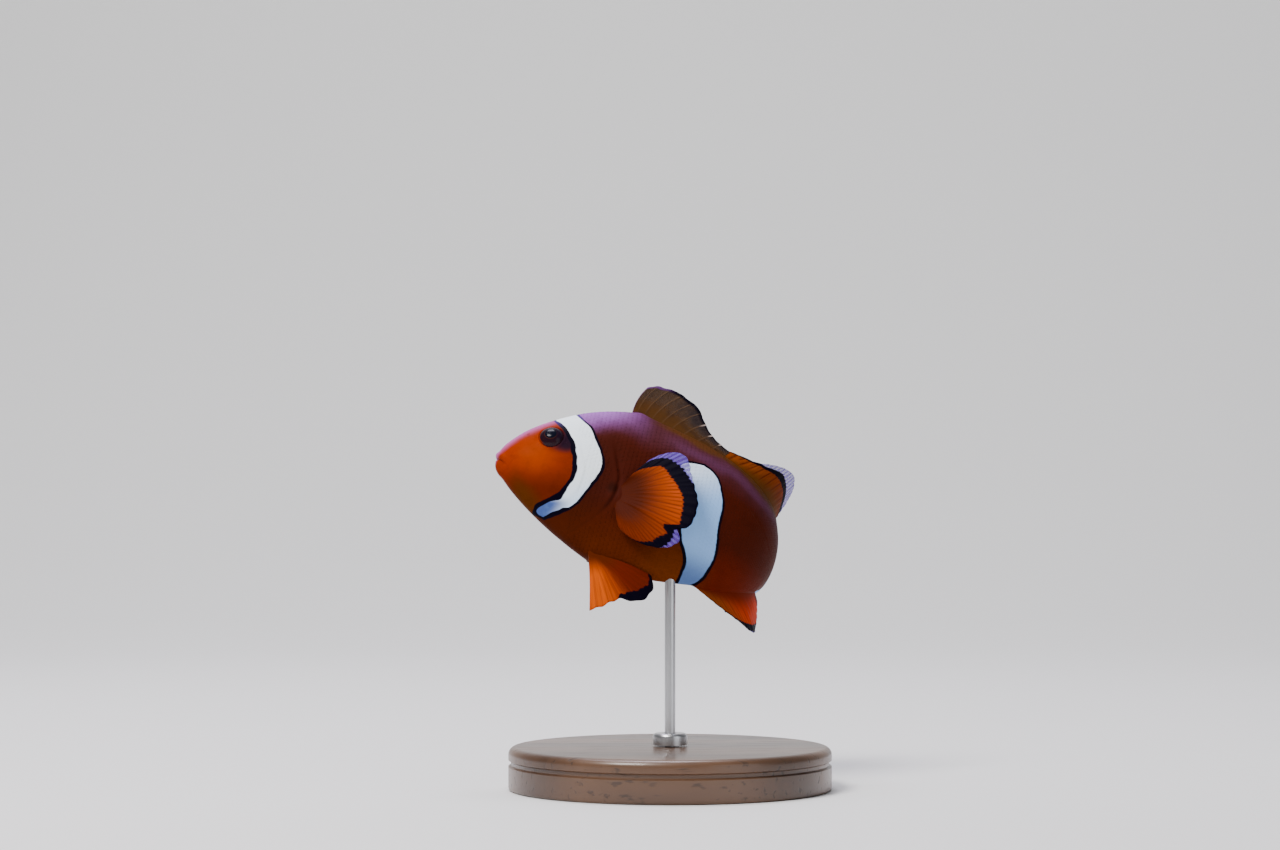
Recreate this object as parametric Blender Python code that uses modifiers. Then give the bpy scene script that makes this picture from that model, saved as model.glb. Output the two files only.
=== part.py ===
"""A clownfish modelled life size as a still display piece: the fish swims with its head up and its
tail swung away to its right, held by one thin rod on a small round base.

Metres, +Z up. The origin is the centre of the base's underside. The fish faces -X and shows its
left side to -Y. Its shape is first given in a straight frame, in fractions of the body length:
along (from the snout back), left (from the middle plane) and up (from the body axis). posed() then
bends that frame sideways and banks it.
"""

import math

import bmesh
import bpy
import numpy as np
from mathutils import Matrix, Vector

# Driving dimensions, in metres
BODY_LENGTH = 0.070  # snout to the root of the tail fin
GAP = 0.0003  # clearance between neighbouring solids
FIN_THICKNESS = 0.0006
BASE_RADIUS = 0.030
BASE_HEIGHT = 0.008
BASE_EDGE = 0.0012  # rounding of the base's two rims
ROD_RADIUS = 0.0010
ROD_IN_BASE = 0.004
ROD_IN_BODY = 0.007
COLLAR_RADIUS = 0.0032
COLLAR_HEIGHT = 0.0022
AXIS_HEIGHT = 0.0545  # of the body axis above the floor, at ANCHOR

# The pose
PITCH = math.radians(16.2)  # head up
BANK = math.radians(19.7)  # belly out to the left
YAW = math.radians(-3.0)
ANCHOR = 0.40  # place along the axis that the turns are taken about
ROD_PLACE = 0.545  # place along the axis where the rod meets the belly
TAIL_BEND_START = 0.48
TAIL_BEND = math.radians(110.0)
TAIL_BEND_POWER = 1.35
TAIL_FIN_RETURN = math.radians(24.0)  # how far the tail fin swings back from the tail's heading
HEAD_BEND_END = 0.45
HEAD_BEND = math.radians(6.6)
HEAD_BEND_POWER = 1.5

# The body: place along, back, belly and half width, in body lengths
BODY_STATIONS = (
    (0.009, 0.000, -0.006, 0.000),
    (0.020, 0.031, -0.034, 0.026),
    (0.036, 0.053, -0.050, 0.038),
    (0.080, 0.100, -0.088, 0.060),
    (0.150, 0.150, -0.135, 0.075),
    (0.220, 0.188, -0.173, 0.087),
    (0.300, 0.215, -0.208, 0.093),
    (0.338, 0.222, -0.218, 0.093),
    (0.380, 0.213, -0.225, 0.092),
    (0.500, 0.192, -0.218, 0.082),
    (0.600, 0.171, -0.198, 0.068),
    (0.700, 0.144, -0.169, 0.053),
    (0.800, 0.117, -0.131, 0.041),
    (0.880, 0.097, -0.101, 0.033),
    (0.940, 0.088, -0.089, 0.026),
    (1.000, 0.091, -0.090, 0.016),
)
RIDGE = 0.12  # how much the section narrows towards the back and the belly
SECTION_POINTS = 32

# Where the body is divided, along the axis
SNOUT_CUT = 0.0095
HEAD_END = 0.342
TRUNK_END = 0.600
TAIL_END = 0.885
BODY_END = 1.000

# The eyes: place, radius and half depth, in body lengths, and how far they look forward and up
EYE_PLACE = (0.142, 0.0505, 0.069)
EYE_RADIUS = 0.0345
EYE_HALF_DEPTH = 0.0280
EYE_FORWARD = math.radians(14.0)
EYE_UPWARD = math.radians(17.0)

# The gill covers: an oval on the cheek that reaches in to a flat bed
COVER_PLACE = (0.268, -0.015)
COVER_HALF_WIDTH = 0.062
COVER_HALF_HEIGHT = 0.118
COVER_BED = 0.056
COVER_POINTS = 28

# The lower jaw's outline from the side, along and up, from the mouth's tip
JAW_OUTLINE = ((-0.02, -0.004), (0.036, -0.018), (0.092, -0.060), (0.104, -0.140), (-0.02, -0.140))

# Fins of the back and belly, ray by ray: root along, then the tip's place along, left and up
SPINE_BOW = 0.075  # how far the dorsal spines curve forward, as a share of their length
SPINY_DORSAL_RAYS = (
    (0.329, 0.352, 0.0, 0.303),
    (0.344, 0.384, 0.0, 0.315),
    (0.366, 0.424, 0.0, 0.315),
    (0.392, 0.463, 0.0, 0.303),
    (0.425, 0.499, 0.0, 0.286),
    (0.462, 0.522, 0.0, 0.256),
    (0.505, 0.548, 0.0, 0.227),
    (0.555, 0.580, 0.0, 0.208),
    (0.598, 0.618, 0.0, 0.196),
)
SOFT_DORSAL_RAYS = (
    (0.606, 0.626, 0.0, 0.194),
    (0.640, 0.700, 0.0, 0.203),
    (0.680, 0.760, 0.004, 0.222),
    (0.725, 0.825, 0.012, 0.240),
    (0.770, 0.885, 0.024, 0.247),
    (0.810, 0.920, 0.030, 0.225),
    (0.842, 0.920, 0.022, 0.184),
    (0.866, 0.906, 0.010, 0.144),
    (0.882, 0.896, 0.002, 0.114),
)
ANAL_RAYS = (
    (0.612, 0.632, 0.0, -0.202),
    (0.640, 0.690, 0.0, -0.216),
    (0.672, 0.760, 0.004, -0.225),
    (0.710, 0.835, 0.012, -0.226),
    (0.750, 0.895, 0.024, -0.214),
    (0.785, 0.925, 0.024, -0.185),
    (0.815, 0.925, 0.018, -0.150),
    (0.845, 0.905, 0.008, -0.118),
)
CAUDAL_HALF_ROOT = 0.084
CAUDAL_HALF_TIP = 0.100
CAUDAL_LENGTH = 0.240
CAUDAL_ROUNDING = 0.080  # how much shorter the outer rays are

# Paired fins: (angle in degrees, length) from the root, in the fin's own plane
PECTORAL_ROOT = (0.352, 0.0975, -0.050)
PECTORAL_HALF_ROOT = 0.029
PECTORAL_FLARE = math.radians(18.0)
PECTORAL_EDGE = (
    (-80, 0.080), (-64, 0.116), (-50, 0.151), (-36, 0.191), (-26, 0.205), (-4, 0.214), (6, 0.213),
    (16, 0.205), (29, 0.201), (41, 0.206), (48, 0.201), (57, 0.171), (66, 0.123),
)  # fmt: skip
PELVIC_ROOT = (0.327, 0.030, -0.214)
PELVIC_HALF_ROOT = 0.014
PELVIC_FLARE = math.radians(20.0)
PELVIC_EDGE = (
    (9, 0.170), (18, 0.159), (31, 0.146), (43, 0.143), (51, 0.162),
    (59, 0.178), (70, 0.183), (80, 0.178), (90, 0.160),
)  # fmt: skip
# The right pelvic fin stands further out, and is half closed and folded back
RIGHT_PELVIC_FLARE = math.radians(66.0)
RIGHT_PELVIC_SWEEP = math.radians(52.0)
RIGHT_PELVIC_SPREAD = 0.30  # of the left fin's spread


def smooth_curve(points):
    """A function through points (x, y) that rises and falls only where they do."""
    x = np.array([point[0] for point in points], float)
    y = np.array([point[1] for point in points], float)
    rise = np.diff(y) / np.diff(x)
    slope = np.concatenate([rise[:1], (rise[1:] + rise[:-1]) / 2, rise[-1:]])
    slope[1:-1][rise[1:] * rise[:-1] <= 0] = 0.0
    for i, steepest in enumerate(rise):
        for end in (i, i + 1):
            slope[end] = math.copysign(min(abs(slope[end]), 3 * abs(steepest)), slope[end])

    def value(at):
        at = np.clip(np.asarray(at, float), x[0], x[-1])
        i = np.clip(np.searchsorted(x, at) - 1, 0, len(rise) - 1)
        width = x[i + 1] - x[i]
        t = (at - x[i]) / width
        start = y[i] * (2 * t**3 - 3 * t**2 + 1) + slope[i] * width * (t**3 - 2 * t**2 + t)
        return start + y[i + 1] * (3 * t**2 - 2 * t**3) + slope[i + 1] * width * (t**3 - t**2)

    return value


def from_snout(place):
    """The root of the distance from the snout: over it, a blunt snout is a smooth curve."""
    return np.sqrt(np.maximum(np.asarray(place, float) - BODY_STATIONS[0][0], 0.0))


BACK, BELLY, HALF_WIDTH = (
    smooth_curve([(from_snout(station[0]), station[column]) for station in BODY_STATIONS])
    for column in (1, 2, 3)
)


def spine():
    """Places along the axis, the axis's way there in the plane of the bend, and its heading."""
    place = np.linspace(-0.2, 1.5, 1701)
    tail = np.clip((place - TAIL_BEND_START) / (1 - TAIL_BEND_START), 0, 1)
    head = np.clip((HEAD_BEND_END - place) / HEAD_BEND_END, 0, 1)
    tail_fin = np.clip((place - 1) / CAUDAL_LENGTH, 0, 1)
    heading = TAIL_BEND * tail**TAIL_BEND_POWER - HEAD_BEND * head**HEAD_BEND_POWER
    heading -= TAIL_FIN_RETURN * tail_fin
    step = place[1] - place[0]
    along = np.cumsum(np.cos(heading)) * step
    left = -np.cumsum(np.sin(heading)) * step
    along -= np.interp(ANCHOR, place, along)
    left -= np.interp(ANCHOR, place, left)
    return place, along, left, heading


SPINE = spine()
TURN = Matrix.Rotation(PITCH, 3, "Y") @ Matrix.Rotation(-YAW, 3, "Z") @ Matrix.Rotation(-BANK, 3, "X")
TURN = np.array(TURN)


def turned(along, left, up):
    """The fish's own directions, in body lengths, as world ones in metres. Left is -Y."""
    return np.stack([along, -np.asarray(left), up], axis=-1) @ TURN.T * BODY_LENGTH


def bent(along, left, up):
    """Points of the straight frame in the world's directions, measured from the anchor."""
    along, left, up = np.broadcast_arrays(np.asarray(along, float), left, up)
    place, way_along, way_left, heading = SPINE
    angle = np.interp(along, place, heading)
    on_along = np.interp(along, place, way_along) + left * np.sin(angle)
    on_left = np.interp(along, place, way_left) + left * np.cos(angle)
    return turned(on_along, on_left, up)


FOOT = bent(ROD_PLACE, 0.0, BELLY(from_snout(ROD_PLACE)))
SHIFT = np.array([-FOOT[0], -FOOT[1], AXIS_HEIGHT])


def posed(along, left, up):
    """World places, in metres, of points given in the straight frame."""
    return bent(along, left, up) + SHIFT


def directions(place):
    """World directions, one body length long, of back, left and up at a place along the axis."""
    angle = np.interp(place, SPINE[0], SPINE[3])
    back = turned(math.cos(angle), -math.sin(angle), 0.0)
    left = turned(math.sin(angle), math.cos(angle), 0.0)
    return back, left, turned(0.0, 0.0, 1.0)


def section(place):
    """One cross section of the body, as arrays of left and up."""
    angle = np.linspace(0, 2 * math.pi, SECTION_POINTS, endpoint=False)
    back, belly, half_width = (curve(from_snout(place)) for curve in (BACK, BELLY, HALF_WIDTH))
    left = half_width * np.cos(angle) * (1 - RIDGE * np.sin(angle) ** 2)
    up = (back + belly) / 2 + (back - belly) / 2 * np.sin(angle)
    return left, up


def material(name, colour, roughness, metallic=0.0):
    """A plain Principled material."""
    made = bpy.data.materials.new(name)
    made.use_nodes = True
    shader = made.node_tree.nodes["Principled BSDF"]
    shader.inputs["Base Color"].default_value = (*colour, 1.0)
    shader.inputs["Roughness"].default_value = roughness
    shader.inputs["Metallic"].default_value = metallic
    return made


def add_object(name, mesh, collection, look=None):
    """Wraps a mesh, shades it smooth and puts it in a collection."""
    made = bpy.data.objects.new(name, mesh)
    collection.objects.link(made)
    if look:
        mesh.materials.append(look)
    mesh.shade_smooth()
    mesh.set_sharp_from_angle(angle=math.radians(50))
    return made


def from_bmesh(name, shape, collection, look=None):
    bmesh.ops.recalc_face_normals(shape, faces=shape.faces)
    mesh = bpy.data.meshes.new(name)
    shape.to_mesh(mesh)
    shape.free()
    return add_object(name, mesh, collection, look)


def loft(rings):
    """A closed skin over rings of like points, with a flat cap at each end."""
    shape = bmesh.new()
    loops = [[shape.verts.new(point) for point in ring] for ring in rings]
    for ring, following in zip(loops, loops[1:]):
        for i in range(len(ring)):
            j = (i + 1) % len(ring)
            shape.faces.new((ring[i], ring[j], following[j], following[i]))
    shape.faces.new(loops[0])
    shape.faces.new(loops[-1])
    return shape


def body_block(name, start, end, count, collection, look=None):
    """A length of the body between two flat sections."""
    places = BODY_STATIONS[0][0] + np.linspace(from_snout(start), from_snout(end), count) ** 2
    rings = [posed(place, *section(place)) for place in places]
    return from_bmesh(name, loft(rings), collection, look)


def side_prism(name, outline, inner, outer, collection):
    """An outline of along and up, stretched across the body between two values of left."""
    along = np.array([point[0] for point in outline])
    up = np.array([point[1] for point in outline])
    rings = [posed(along, left, up) for left in (inner, outer)]
    return from_bmesh(name, loft(rings), collection)


def cut(target, cutter, operation="DIFFERENCE"):
    modifier = target.modifiers.new(f"{operation.lower()} {cutter.name}", "BOOLEAN")
    modifier.operation = operation
    modifier.object = cutter


def cover_outline(grow):
    """The gill cover's oval, wider at the back, as points of along and up."""
    points = []
    for i in range(COVER_POINTS):
        angle = 2 * math.pi * i / COVER_POINTS
        along = COVER_PLACE[0] + (COVER_HALF_WIDTH + grow) * math.cos(angle)
        up = COVER_PLACE[1] + (COVER_HALF_HEIGHT + grow) * math.sin(angle)
        points.append((along, up))
    return points


def grown(outline, distance):
    """An outline moved out by a distance, corner by corner."""
    points = [Vector(point) for point in outline]
    out = []
    for i, point in enumerate(points):
        before = (point - points[i - 1]).normalized()
        after = (points[(i + 1) % len(points)] - point).normalized()
        normal = Vector((after.y + before.y, -after.x - before.x)).normalized()
        reach = distance / max(0.3, normal.dot(Vector((after.y, -after.x))))
        out.append(point - normal * reach)
    return out


def eye_shape(side, grow):
    """A flattened ball in its place; side is 1 for left and -1 for right."""
    along, left, up = EYE_PLACE
    back, out, upward = (Vector(direction) for direction in directions(along))
    size = BODY_LENGTH
    facing = (
        out.normalized() * math.cos(EYE_FORWARD) * side - back.normalized() * math.sin(EYE_FORWARD)
    ) * math.cos(EYE_UPWARD) + upward.normalized() * math.sin(EYE_UPWARD)
    across = upward.cross(facing).normalized()
    axes = Matrix((across, facing.cross(across), facing)).transposed().to_4x4()
    radius = EYE_RADIUS * size + grow
    half_depth = EYE_HALF_DEPTH * size + grow
    spread = Matrix.Diagonal((radius, radius, half_depth, 1.0))
    centre = Matrix.Translation(Vector(posed(along, side * left, up)))
    shape = bmesh.new()
    bmesh.ops.create_uvsphere(shape, u_segments=20, v_segments=10, radius=1.0, matrix=centre @ axes @ spread)
    return shape


def plate(name, grid, collection, look):
    """A fin: a net of points, given as rows, thickened to both sides."""
    shape = bmesh.new()
    net = [[shape.verts.new(point) for point in row] for row in grid]
    for row, following in zip(net, net[1:]):
        for i in range(len(row) - 1):
            shape.faces.new((row[i], row[i + 1], following[i + 1], following[i]))
    fin = from_bmesh(name, shape, collection, look)
    solidify = fin.modifiers.new("thickness", "SOLIDIFY")
    solidify.thickness = FIN_THICKNESS
    solidify.offset = 0.0
    return fin


def middle_fin(name, rays, side, count, collection, look, bow=0.0):
    """A fin along the back (side 1) or the belly (side -1)."""
    curves = [smooth_curve(list(enumerate(column))) for column in zip(*rays)]
    edge_of_body = BACK if side > 0 else BELLY
    lift = side * GAP / BODY_LENGTH
    share = np.linspace(0, 1, 6)
    grid = []
    for ray in np.linspace(0, len(rays) - 1, count):
        root, tip_along, tip_left, tip_up = (float(curve(ray)) for curve in curves)
        root_up = float(edge_of_body(from_snout(root))) + lift
        curve = bow * 4 * share * (1 - share)
        along = root + (tip_along - root) * share - (tip_up - root_up) * curve
        up = root_up + (tip_up - root_up) * share + (tip_along - root) * curve
        clear = edge_of_body(from_snout(along)) + lift
        up = np.maximum(up, clear) if side > 0 else np.minimum(up, clear)
        grid.append(posed(along, tip_left * share**1.5, up))
    return plate(name, grid, collection, look)


def caudal_fin(collection, look):
    grid = []
    start = BODY_END + GAP / BODY_LENGTH
    for across in np.linspace(-1, 1, 13):
        length = CAUDAL_LENGTH - CAUDAL_ROUNDING * abs(across) ** 2.5
        share = np.linspace(0, 1, 6)
        up = across * (CAUDAL_HALF_ROOT + (CAUDAL_HALF_TIP - CAUDAL_HALF_ROOT) * share)
        grid.append(posed(start + length * share, 0.0, up))
    return plate("caudal_fin", grid, collection, look)


def fan(name, root, half_root, edge, axes, side, collection, look):
    """A paired fin in the plane of two directions, from a short root that runs along the third."""
    length_at = smooth_curve(edge)
    centre = posed(root[0], side * root[1], root[2])
    outward, crossways, along_root = axes
    grid = []
    for angle in np.linspace(edge[0][0], edge[-1][0], 18):
        turn = math.radians(angle)
        share = (angle - edge[0][0]) / (edge[-1][0] - edge[0][0]) * 2 - 1
        start = centre + along_root * share * half_root
        tip = centre + (outward * math.cos(turn) + crossways * math.sin(turn)) * float(length_at(angle))
        grid.append([start + (tip - start) * reach for reach in np.linspace(0, 1, 5)])
    return plate(name, grid, collection, look)


def pectoral_fin(side, collection, look):
    back, left, up = directions(PECTORAL_ROOT[0])
    outward = back * math.cos(PECTORAL_FLARE) + left * side * math.sin(PECTORAL_FLARE)
    name = "pectoral_fin_left" if side > 0 else "pectoral_fin_right"
    fan(name, PECTORAL_ROOT, PECTORAL_HALF_ROOT, PECTORAL_EDGE, (outward, up, up), side, collection, look)


def pelvic_fin(side, collection, look):
    back, left, up = directions(PELVIC_ROOT[0])
    flare, sweep, edge = PELVIC_FLARE, 0.0, PELVIC_EDGE
    if side < 0:
        flare, sweep = RIGHT_PELVIC_FLARE, RIGHT_PELVIC_SWEEP
        edge = [(angle * RIGHT_PELVIC_SPREAD, length) for angle, length in PELVIC_EDGE]
    down = left * side * math.sin(flare) - up * math.cos(flare)
    outward = down * math.cos(sweep) + back * math.sin(sweep)
    crossways = back * math.cos(sweep) - down * math.sin(sweep)
    name = "pelvic_fin_left" if side > 0 else "pelvic_fin_right"
    axes = (outward, crossways, back)
    fan(name, PELVIC_ROOT, PELVIC_HALF_ROOT, edge, axes, side, collection, look)


def cylinder(name, radius, bottom, top, segments, collection, look=None):
    """An upright cylinder on the stand's axis."""
    shape = bmesh.new()
    place = Matrix.Translation((0, 0, (bottom + top) / 2))
    bmesh.ops.create_cone(
        shape, cap_ends=True, segments=segments, radius1=radius, radius2=radius, depth=top - bottom, matrix=place
    )
    return from_bmesh(name, shape, collection, look)


def rounded(target, width, segments):
    bevel = target.modifiers.new("rounded rims", "BEVEL")
    bevel.width = width
    bevel.segments = segments
    bevel.limit_method = "ANGLE"
    bevel.angle_limit = math.radians(60)


def build_head(fish, cutters, looks):
    head = body_block("head", SNOUT_CUT, HEAD_END, 22, fish, looks["orange"])
    jaw = body_block("lower_jaw", SNOUT_CUT, 0.16, 16, fish, looks["orange"])
    gap = GAP / BODY_LENGTH
    cut(jaw, side_prism("jaw_shape", JAW_OUTLINE, -0.12, 0.12, cutters), "INTERSECT")
    cut(head, side_prism("jaw_space", grown(JAW_OUTLINE, gap), -0.12, 0.12, cutters))
    for side, word in ((1, "left"), (-1, "right")):
        cover = body_block(f"gill_cover_{word}", 0.16, HEAD_END, 14, fish, looks["orange"])
        shape = side_prism(f"cover_shape_{word}", cover_outline(0.0), side * COVER_BED, side * 0.13, cutters)
        space = side_prism(
            f"cover_space_{word}", cover_outline(gap), side * (COVER_BED - gap), side * 0.13, cutters
        )
        cut(cover, shape, "INTERSECT")
        cut(head, space)
        cut(head, from_bmesh(f"eye_space_{word}", eye_shape(side, GAP), cutters))
        from_bmesh(f"eye_{word}", eye_shape(side, 0.0), fish, looks["eye"])


def build_trunk_and_tail(fish, cutters, looks):
    gap = GAP / BODY_LENGTH
    trunk = body_block("trunk", HEAD_END + gap, TRUNK_END, 11, fish, looks["brown"])
    body_block("tail", TRUNK_END + gap, TAIL_END, 13, fish, looks["brown"])
    body_block("tail_stalk", TAIL_END + gap, BODY_END, 6, fish, looks["white"])
    belly = rod_top() - ROD_IN_BODY
    bore = cylinder(
        "rod_bore", ROD_RADIUS + GAP, belly - BASE_HEIGHT, rod_top() + GAP, 20, cutters
    )
    cut(trunk, bore)


def build_fins(fish, looks):
    middle_fin("dorsal_fin_spiny", SPINY_DORSAL_RAYS, 1, 16, fish, looks["fin"], SPINE_BOW)
    middle_fin("dorsal_fin_soft", SOFT_DORSAL_RAYS, 1, 18, fish, looks["fin"])
    middle_fin("anal_fin", ANAL_RAYS, -1, 16, fish, looks["fin"])
    caudal_fin(fish, looks["fin"])
    for side in (1, -1):
        pectoral_fin(side, fish, looks["fin"])
        pelvic_fin(side, fish, looks["fin"])


def rod_top():
    return float(FOOT[2] + SHIFT[2]) + ROD_IN_BODY


def build_stand(fish, cutters, looks):
    base = cylinder("stand_base", BASE_RADIUS, 0.0, BASE_HEIGHT, 56, fish, looks["base"])
    rounded(base, BASE_EDGE, 2)
    cut(base, cylinder("rod_hole", ROD_RADIUS + GAP, BASE_HEIGHT - ROD_IN_BASE - GAP, 0.02, 20, cutters))
    cylinder("stand_rod", ROD_RADIUS, BASE_HEIGHT - ROD_IN_BASE, rod_top(), 20, fish, looks["steel"])
    collar_bottom = BASE_HEIGHT + GAP
    collar = cylinder(
        "stand_collar", COLLAR_RADIUS, collar_bottom, collar_bottom + COLLAR_HEIGHT, 24, fish, looks["steel"]
    )
    rounded(collar, 0.0004, 2)
    cut(collar, cylinder("collar_hole", ROD_RADIUS + GAP, BASE_HEIGHT - 0.001, 0.03, 20, cutters))


def main():
    for existing in list(bpy.data.objects):
        bpy.data.objects.remove(existing, do_unlink=True)
    fish = bpy.data.collections.new("clownfish")
    cutters = bpy.data.collections.new("cutters")
    for collection in (fish, cutters):
        bpy.context.scene.collection.children.link(collection)
    looks = {
        "orange": material("orange skin", (0.55, 0.12, 0.012), 0.4),
        "brown": material("brown skin", (0.16, 0.035, 0.015), 0.4),
        "white": material("white skin", (0.75, 0.80, 0.90), 0.4),
        "fin": material("fin", (0.60, 0.17, 0.012), 0.35),
        "eye": material("eye", (0.012, 0.010, 0.016), 0.08),
        "base": material("dark walnut", (0.055, 0.028, 0.015), 0.4),
        "steel": material("brushed steel", (0.55, 0.55, 0.56), 0.3, 1.0),
    }
    build_head(fish, cutters, looks)
    build_trunk_and_tail(fish, cutters, looks)
    build_fins(fish, looks)
    build_stand(fish, cutters, looks)
    for cutter in cutters.objects:
        cutter.hide_render = True
        cutter.display_type = "WIRE"


main()
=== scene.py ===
"""Looks of a life-size clownfish on its display stand: skin, scales, eyes, fins, stand and stage.

Metres, +Z up. The fish is shaped in a straight frame, in fractions of the body length: along (from
the snout back), left (from the middle plane) and up (from the body axis). posed() bends that frame
sideways and banks it, as the fish swims.
"""

import math
from itertools import product

import bmesh
import bpy
import numpy as np
from bpy.props import FloatProperty, FloatVectorProperty, IntProperty, PointerProperty
from mathutils import Matrix, Vector


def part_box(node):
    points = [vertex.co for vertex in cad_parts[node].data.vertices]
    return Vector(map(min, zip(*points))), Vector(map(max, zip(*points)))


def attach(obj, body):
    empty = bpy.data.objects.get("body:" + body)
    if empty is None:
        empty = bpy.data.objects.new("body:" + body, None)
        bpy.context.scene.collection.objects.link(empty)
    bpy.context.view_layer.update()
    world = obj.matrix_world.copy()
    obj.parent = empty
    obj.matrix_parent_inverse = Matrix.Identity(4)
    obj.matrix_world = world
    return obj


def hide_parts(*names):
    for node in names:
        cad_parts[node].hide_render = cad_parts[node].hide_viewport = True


bl_info = {
    "name": "Clownfish display model",
    "version": (1, 0, 0),
    "blender": (4, 5, 0),
    "location": "View3D > Sidebar > Clownfish",
    "description": "Skin, scales, eyes, fins, stand and stage for a clownfish on its display stand",
    "category": "Add Mesh",
}

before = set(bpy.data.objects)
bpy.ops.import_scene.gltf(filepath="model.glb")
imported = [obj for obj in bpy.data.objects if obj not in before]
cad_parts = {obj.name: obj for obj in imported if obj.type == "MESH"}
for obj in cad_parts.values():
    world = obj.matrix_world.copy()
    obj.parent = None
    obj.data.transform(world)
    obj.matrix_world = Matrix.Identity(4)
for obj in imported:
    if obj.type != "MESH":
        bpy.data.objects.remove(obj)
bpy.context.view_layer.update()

# The pose and the body, as the solids have them
BODY_LENGTH = 0.070
PITCH = math.radians(16.2)
BANK = math.radians(19.7)
YAW = math.radians(-3.0)
ANCHOR = 0.40
ROD_PLACE = 0.545
AXIS_HEIGHT = 0.0545
TAIL_BEND_START = 0.48
TAIL_BEND = math.radians(110.0)
TAIL_BEND_POWER = 1.35
TAIL_FIN_RETURN = math.radians(24.0)
HEAD_BEND_END = 0.45
HEAD_BEND = math.radians(6.6)
HEAD_BEND_POWER = 1.5
BODY_STATIONS = (
    (0.009, 0.000, -0.006, 0.000),
    (0.020, 0.031, -0.034, 0.026),
    (0.036, 0.053, -0.050, 0.038),
    (0.080, 0.100, -0.088, 0.060),
    (0.150, 0.150, -0.135, 0.075),
    (0.220, 0.188, -0.173, 0.087),
    (0.300, 0.215, -0.208, 0.093),
    (0.338, 0.222, -0.218, 0.093),
    (0.380, 0.213, -0.225, 0.092),
    (0.500, 0.192, -0.218, 0.082),
    (0.600, 0.171, -0.198, 0.068),
    (0.700, 0.144, -0.169, 0.053),
    (0.800, 0.117, -0.131, 0.041),
    (0.880, 0.097, -0.101, 0.033),
    (0.940, 0.088, -0.089, 0.026),
    (1.000, 0.091, -0.090, 0.016),
)
RIDGE = 0.12
SNOUT = BODY_STATIONS[0][0]
TAIL_ROUNDING = (0.975, 1.014)  # where the tail stalk's end is rounded off
WIDEST_PLACE = 0.3
GREATEST_HALF_HEIGHT = 0.2

# The eyes
EYE_PLACE = np.array((0.142, 0.0505, 0.069))
EYE_RADIUS = 0.0345
EYE_HALF_DEPTH = 0.028
EYE_FORWARD = math.radians(14.0)
EYE_UPWARD = math.radians(17.0)

# Fins of the back and belly, ray by ray: root along, then the tip's place along, left and up
SPINE_BOW = 0.075  # how far the dorsal spines curve forward, as a share of their length
SPINY_DORSAL_RAYS = (
    (0.329, 0.352, 0.0, 0.303),
    (0.344, 0.384, 0.0, 0.315),
    (0.366, 0.424, 0.0, 0.315),
    (0.392, 0.463, 0.0, 0.303),
    (0.425, 0.499, 0.0, 0.286),
    (0.462, 0.522, 0.0, 0.256),
    (0.505, 0.548, 0.0, 0.227),
    (0.555, 0.580, 0.0, 0.208),
    (0.598, 0.618, 0.0, 0.196),
)
SOFT_DORSAL_RAYS = (
    (0.593, 0.613, 0.0, 0.198),
    (0.640, 0.700, 0.0, 0.203),
    (0.680, 0.760, 0.004, 0.222),
    (0.725, 0.825, 0.012, 0.240),
    (0.770, 0.885, 0.024, 0.247),
    (0.810, 0.920, 0.030, 0.225),
    (0.842, 0.920, 0.022, 0.184),
    (0.866, 0.906, 0.010, 0.144),
    (0.882, 0.896, 0.002, 0.114),
)
ANAL_RAYS = (
    (0.612, 0.632, 0.0, -0.202),
    (0.640, 0.690, 0.0, -0.216),
    (0.672, 0.760, 0.004, -0.225),
    (0.710, 0.835, 0.012, -0.226),
    (0.750, 0.895, 0.024, -0.214),
    (0.785, 0.925, 0.024, -0.185),
    (0.815, 0.925, 0.018, -0.150),
    (0.845, 0.905, 0.008, -0.118),
)
CAUDAL_HALF_ROOT = 0.084
CAUDAL_HALF_TIP = 0.100
CAUDAL_LENGTH = 0.240
CAUDAL_ROUNDING = 0.080

# How many rays or spines show on each fin, and how the soft rays fork
SPINE_COUNT = 10
SOFT_DORSAL_COUNT = 15
ANAL_COUNT = 14
CAUDAL_COUNT = 17
PECTORAL_COUNT = 20
PELVIC_COUNT = 7
FORK_START = 0.30
FORK_END = 0.65
FORK_SPREAD = 0.25
RAY_WIDTH = 0.13  # as shares of the distance between two rays
SPINE_WIDTH = 0.085
COLUMNS_PER_RAY = 12
FIN_INSIDE = 0.12  # how far a fin runs on into the body, as a share of its rays

# Paired fins: (angle in degrees, length) from the root, in the fin's own plane
PECTORAL_ROOT = (0.352, 0.0975, -0.050)
PECTORAL_HALF_ROOT = 0.029
PECTORAL_FLARE = math.radians(18.0)
PECTORAL_EDGE = (
    (-80, 0.080), (-64, 0.114), (-50, 0.150), (-36, 0.190), (-27, 0.203), (-23, 0.200), (-19, 0.184),
    (-15, 0.207), (-4, 0.213), (6, 0.212), (16, 0.203), (29, 0.199), (41, 0.205), (48, 0.200),
    (57, 0.170), (66, 0.122),
)  # fmt: skip
PELVIC_ROOT = (0.327, 0.030, -0.214)
PELVIC_HALF_ROOT = 0.014
PELVIC_FLARE = math.radians(20.0)
PELVIC_EDGE = (
    (9, 0.170), (18, 0.159), (31, 0.146), (43, 0.143), (51, 0.162),
    (59, 0.178), (70, 0.183), (80, 0.178), (90, 0.160),
)  # fmt: skip
ROOT_SUNK = 0.012
FIN_CUP = 0.010  # how far a paired fin bulges outwards
RIGHT_PELVIC_FLARE = math.radians(66.0)
RIGHT_PELVIC_SWEEP = math.radians(52.0)
RIGHT_PELVIC_SPREAD = 0.30
RIGHT_PELVIC_LENGTH = 0.96  # as a share of the left one's

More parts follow.
